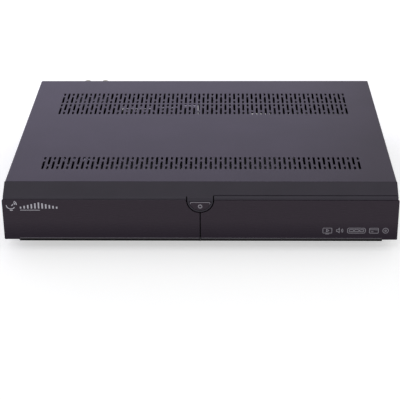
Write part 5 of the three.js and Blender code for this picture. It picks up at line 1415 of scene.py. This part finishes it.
def studio_floor():
    """Seamless white paper: it glows only where it is seen, so that it stays white and keeps the shadow."""
    material = grained("seamless_white_paper", linear("#dcdcdc"), 0.9, 400, 2, spread=0.004,
                       Emission_Color=(1, 1, 1, 1))
    tree = material.node_tree
    glow = add(tree, "ShaderNodeMapRange", {0: seen_directly(tree), 3: 0.0, 4: FLOOR_GLOW}).outputs[0]
    tree.links.new(glow, tree.nodes["Principled BSDF"].inputs["Emission Strength"])
    return material


def photograph_camera(settings):
    """A camera that looks down, turned a little and tilted about its own axis, as for the photograph."""
    pitch, yaw, roll = settings.pitch, settings.yaw, settings.roll
    ahead = np.array([math.sin(yaw) * math.cos(pitch), math.cos(yaw) * math.cos(pitch), -math.sin(pitch)])
    right = np.array([math.cos(yaw), -math.sin(yaw), 0])
    up = np.cross(right, ahead)
    across = math.cos(roll) * right + math.sin(roll) * up
    upright = -math.sin(roll) * right + math.cos(roll) * up
    lens = bpy.data.cameras.new("photograph_camera")
    lens.lens = settings.lens
    lens.sensor_width = SENSOR_WIDTH
    lens.sensor_fit = "HORIZONTAL"
    camera = bpy.data.objects.new("photograph_camera", lens)
    camera.matrix_world = Matrix([
        (across[0], upright[0], -ahead[0], settings.camera_across),
        (across[1], upright[1], -ahead[1], -settings.camera_before),
        (across[2], upright[2], -ahead[2], settings.camera_height),
        (0, 0, 0, 1)])
    bpy.context.scene.collection.objects.link(camera)
    return camera


class RECEIVER_PT_panel(bpy.types.Panel):
    """The receiver's pieces and sizes"""
    bl_idname = "RECEIVER_PT_panel"
    bl_label = "Satellite receiver"
    bl_space_type = "VIEW_3D"
    bl_region_type = "UI"
    bl_category = "Receiver"

    def draw(self, context):
        for operator in OPERATORS:
            self.layout.operator(operator.bl_idname)
        for name, group in GROUPS.items():
            column = self.layout.column()
            for key in group.__annotations__:
                column.prop(getattr(context.scene, name), key)


GROUPS = {
    "receiver_cover": CoverSizes,
    "receiver_front": FrontSizes,
    "receiver_boards": BoardSizes,
    "receiver_rear": RearSizes,
    "receiver_colours": FinishColours,
    "receiver_stage": StageSettings,
}
OPERATORS = [
    RECEIVER_OT_finishes,
    RECEIVER_OT_casing,
    RECEIVER_OT_cover_screws,
    RECEIVER_OT_feet,
    RECEIVER_OT_moulded_front,
    RECEIVER_OT_front_plates,
    RECEIVER_OT_front_prints,
    RECEIVER_OT_power_button,
    RECEIVER_OT_control_keys,
    RECEIVER_OT_card_slots,
    RECEIVER_OT_main_board,
    RECEIVER_OT_power_supply,
    RECEIVER_OT_tuners,
    RECEIVER_OT_jacks,
    RECEIVER_OT_rear_sockets,
    RECEIVER_OT_mains,
    RECEIVER_OT_stage,
]


def register():
    for group in GROUPS.values():
        bpy.utils.register_class(group)
    for operator in OPERATORS:
        bpy.utils.register_class(operator)
    bpy.utils.register_class(RECEIVER_PT_panel)
    for name, group in GROUPS.items():
        setattr(bpy.types.Scene, name, PointerProperty(type=group))


def unregister():
    for name in GROUPS:
        delattr(bpy.types.Scene, name)
    bpy.utils.unregister_class(RECEIVER_PT_panel)
    for operator in reversed(OPERATORS):
        bpy.utils.unregister_class(operator)
    for group in reversed(list(GROUPS.values())):
        bpy.utils.unregister_class(group)


def main():
    """Registers the add-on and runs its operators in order."""
    register()
    for operator in OPERATORS:
        family, name = operator.bl_idname.split(".")
        getattr(getattr(bpy.ops, family), name)()


if __name__ == "__main__":
    main()
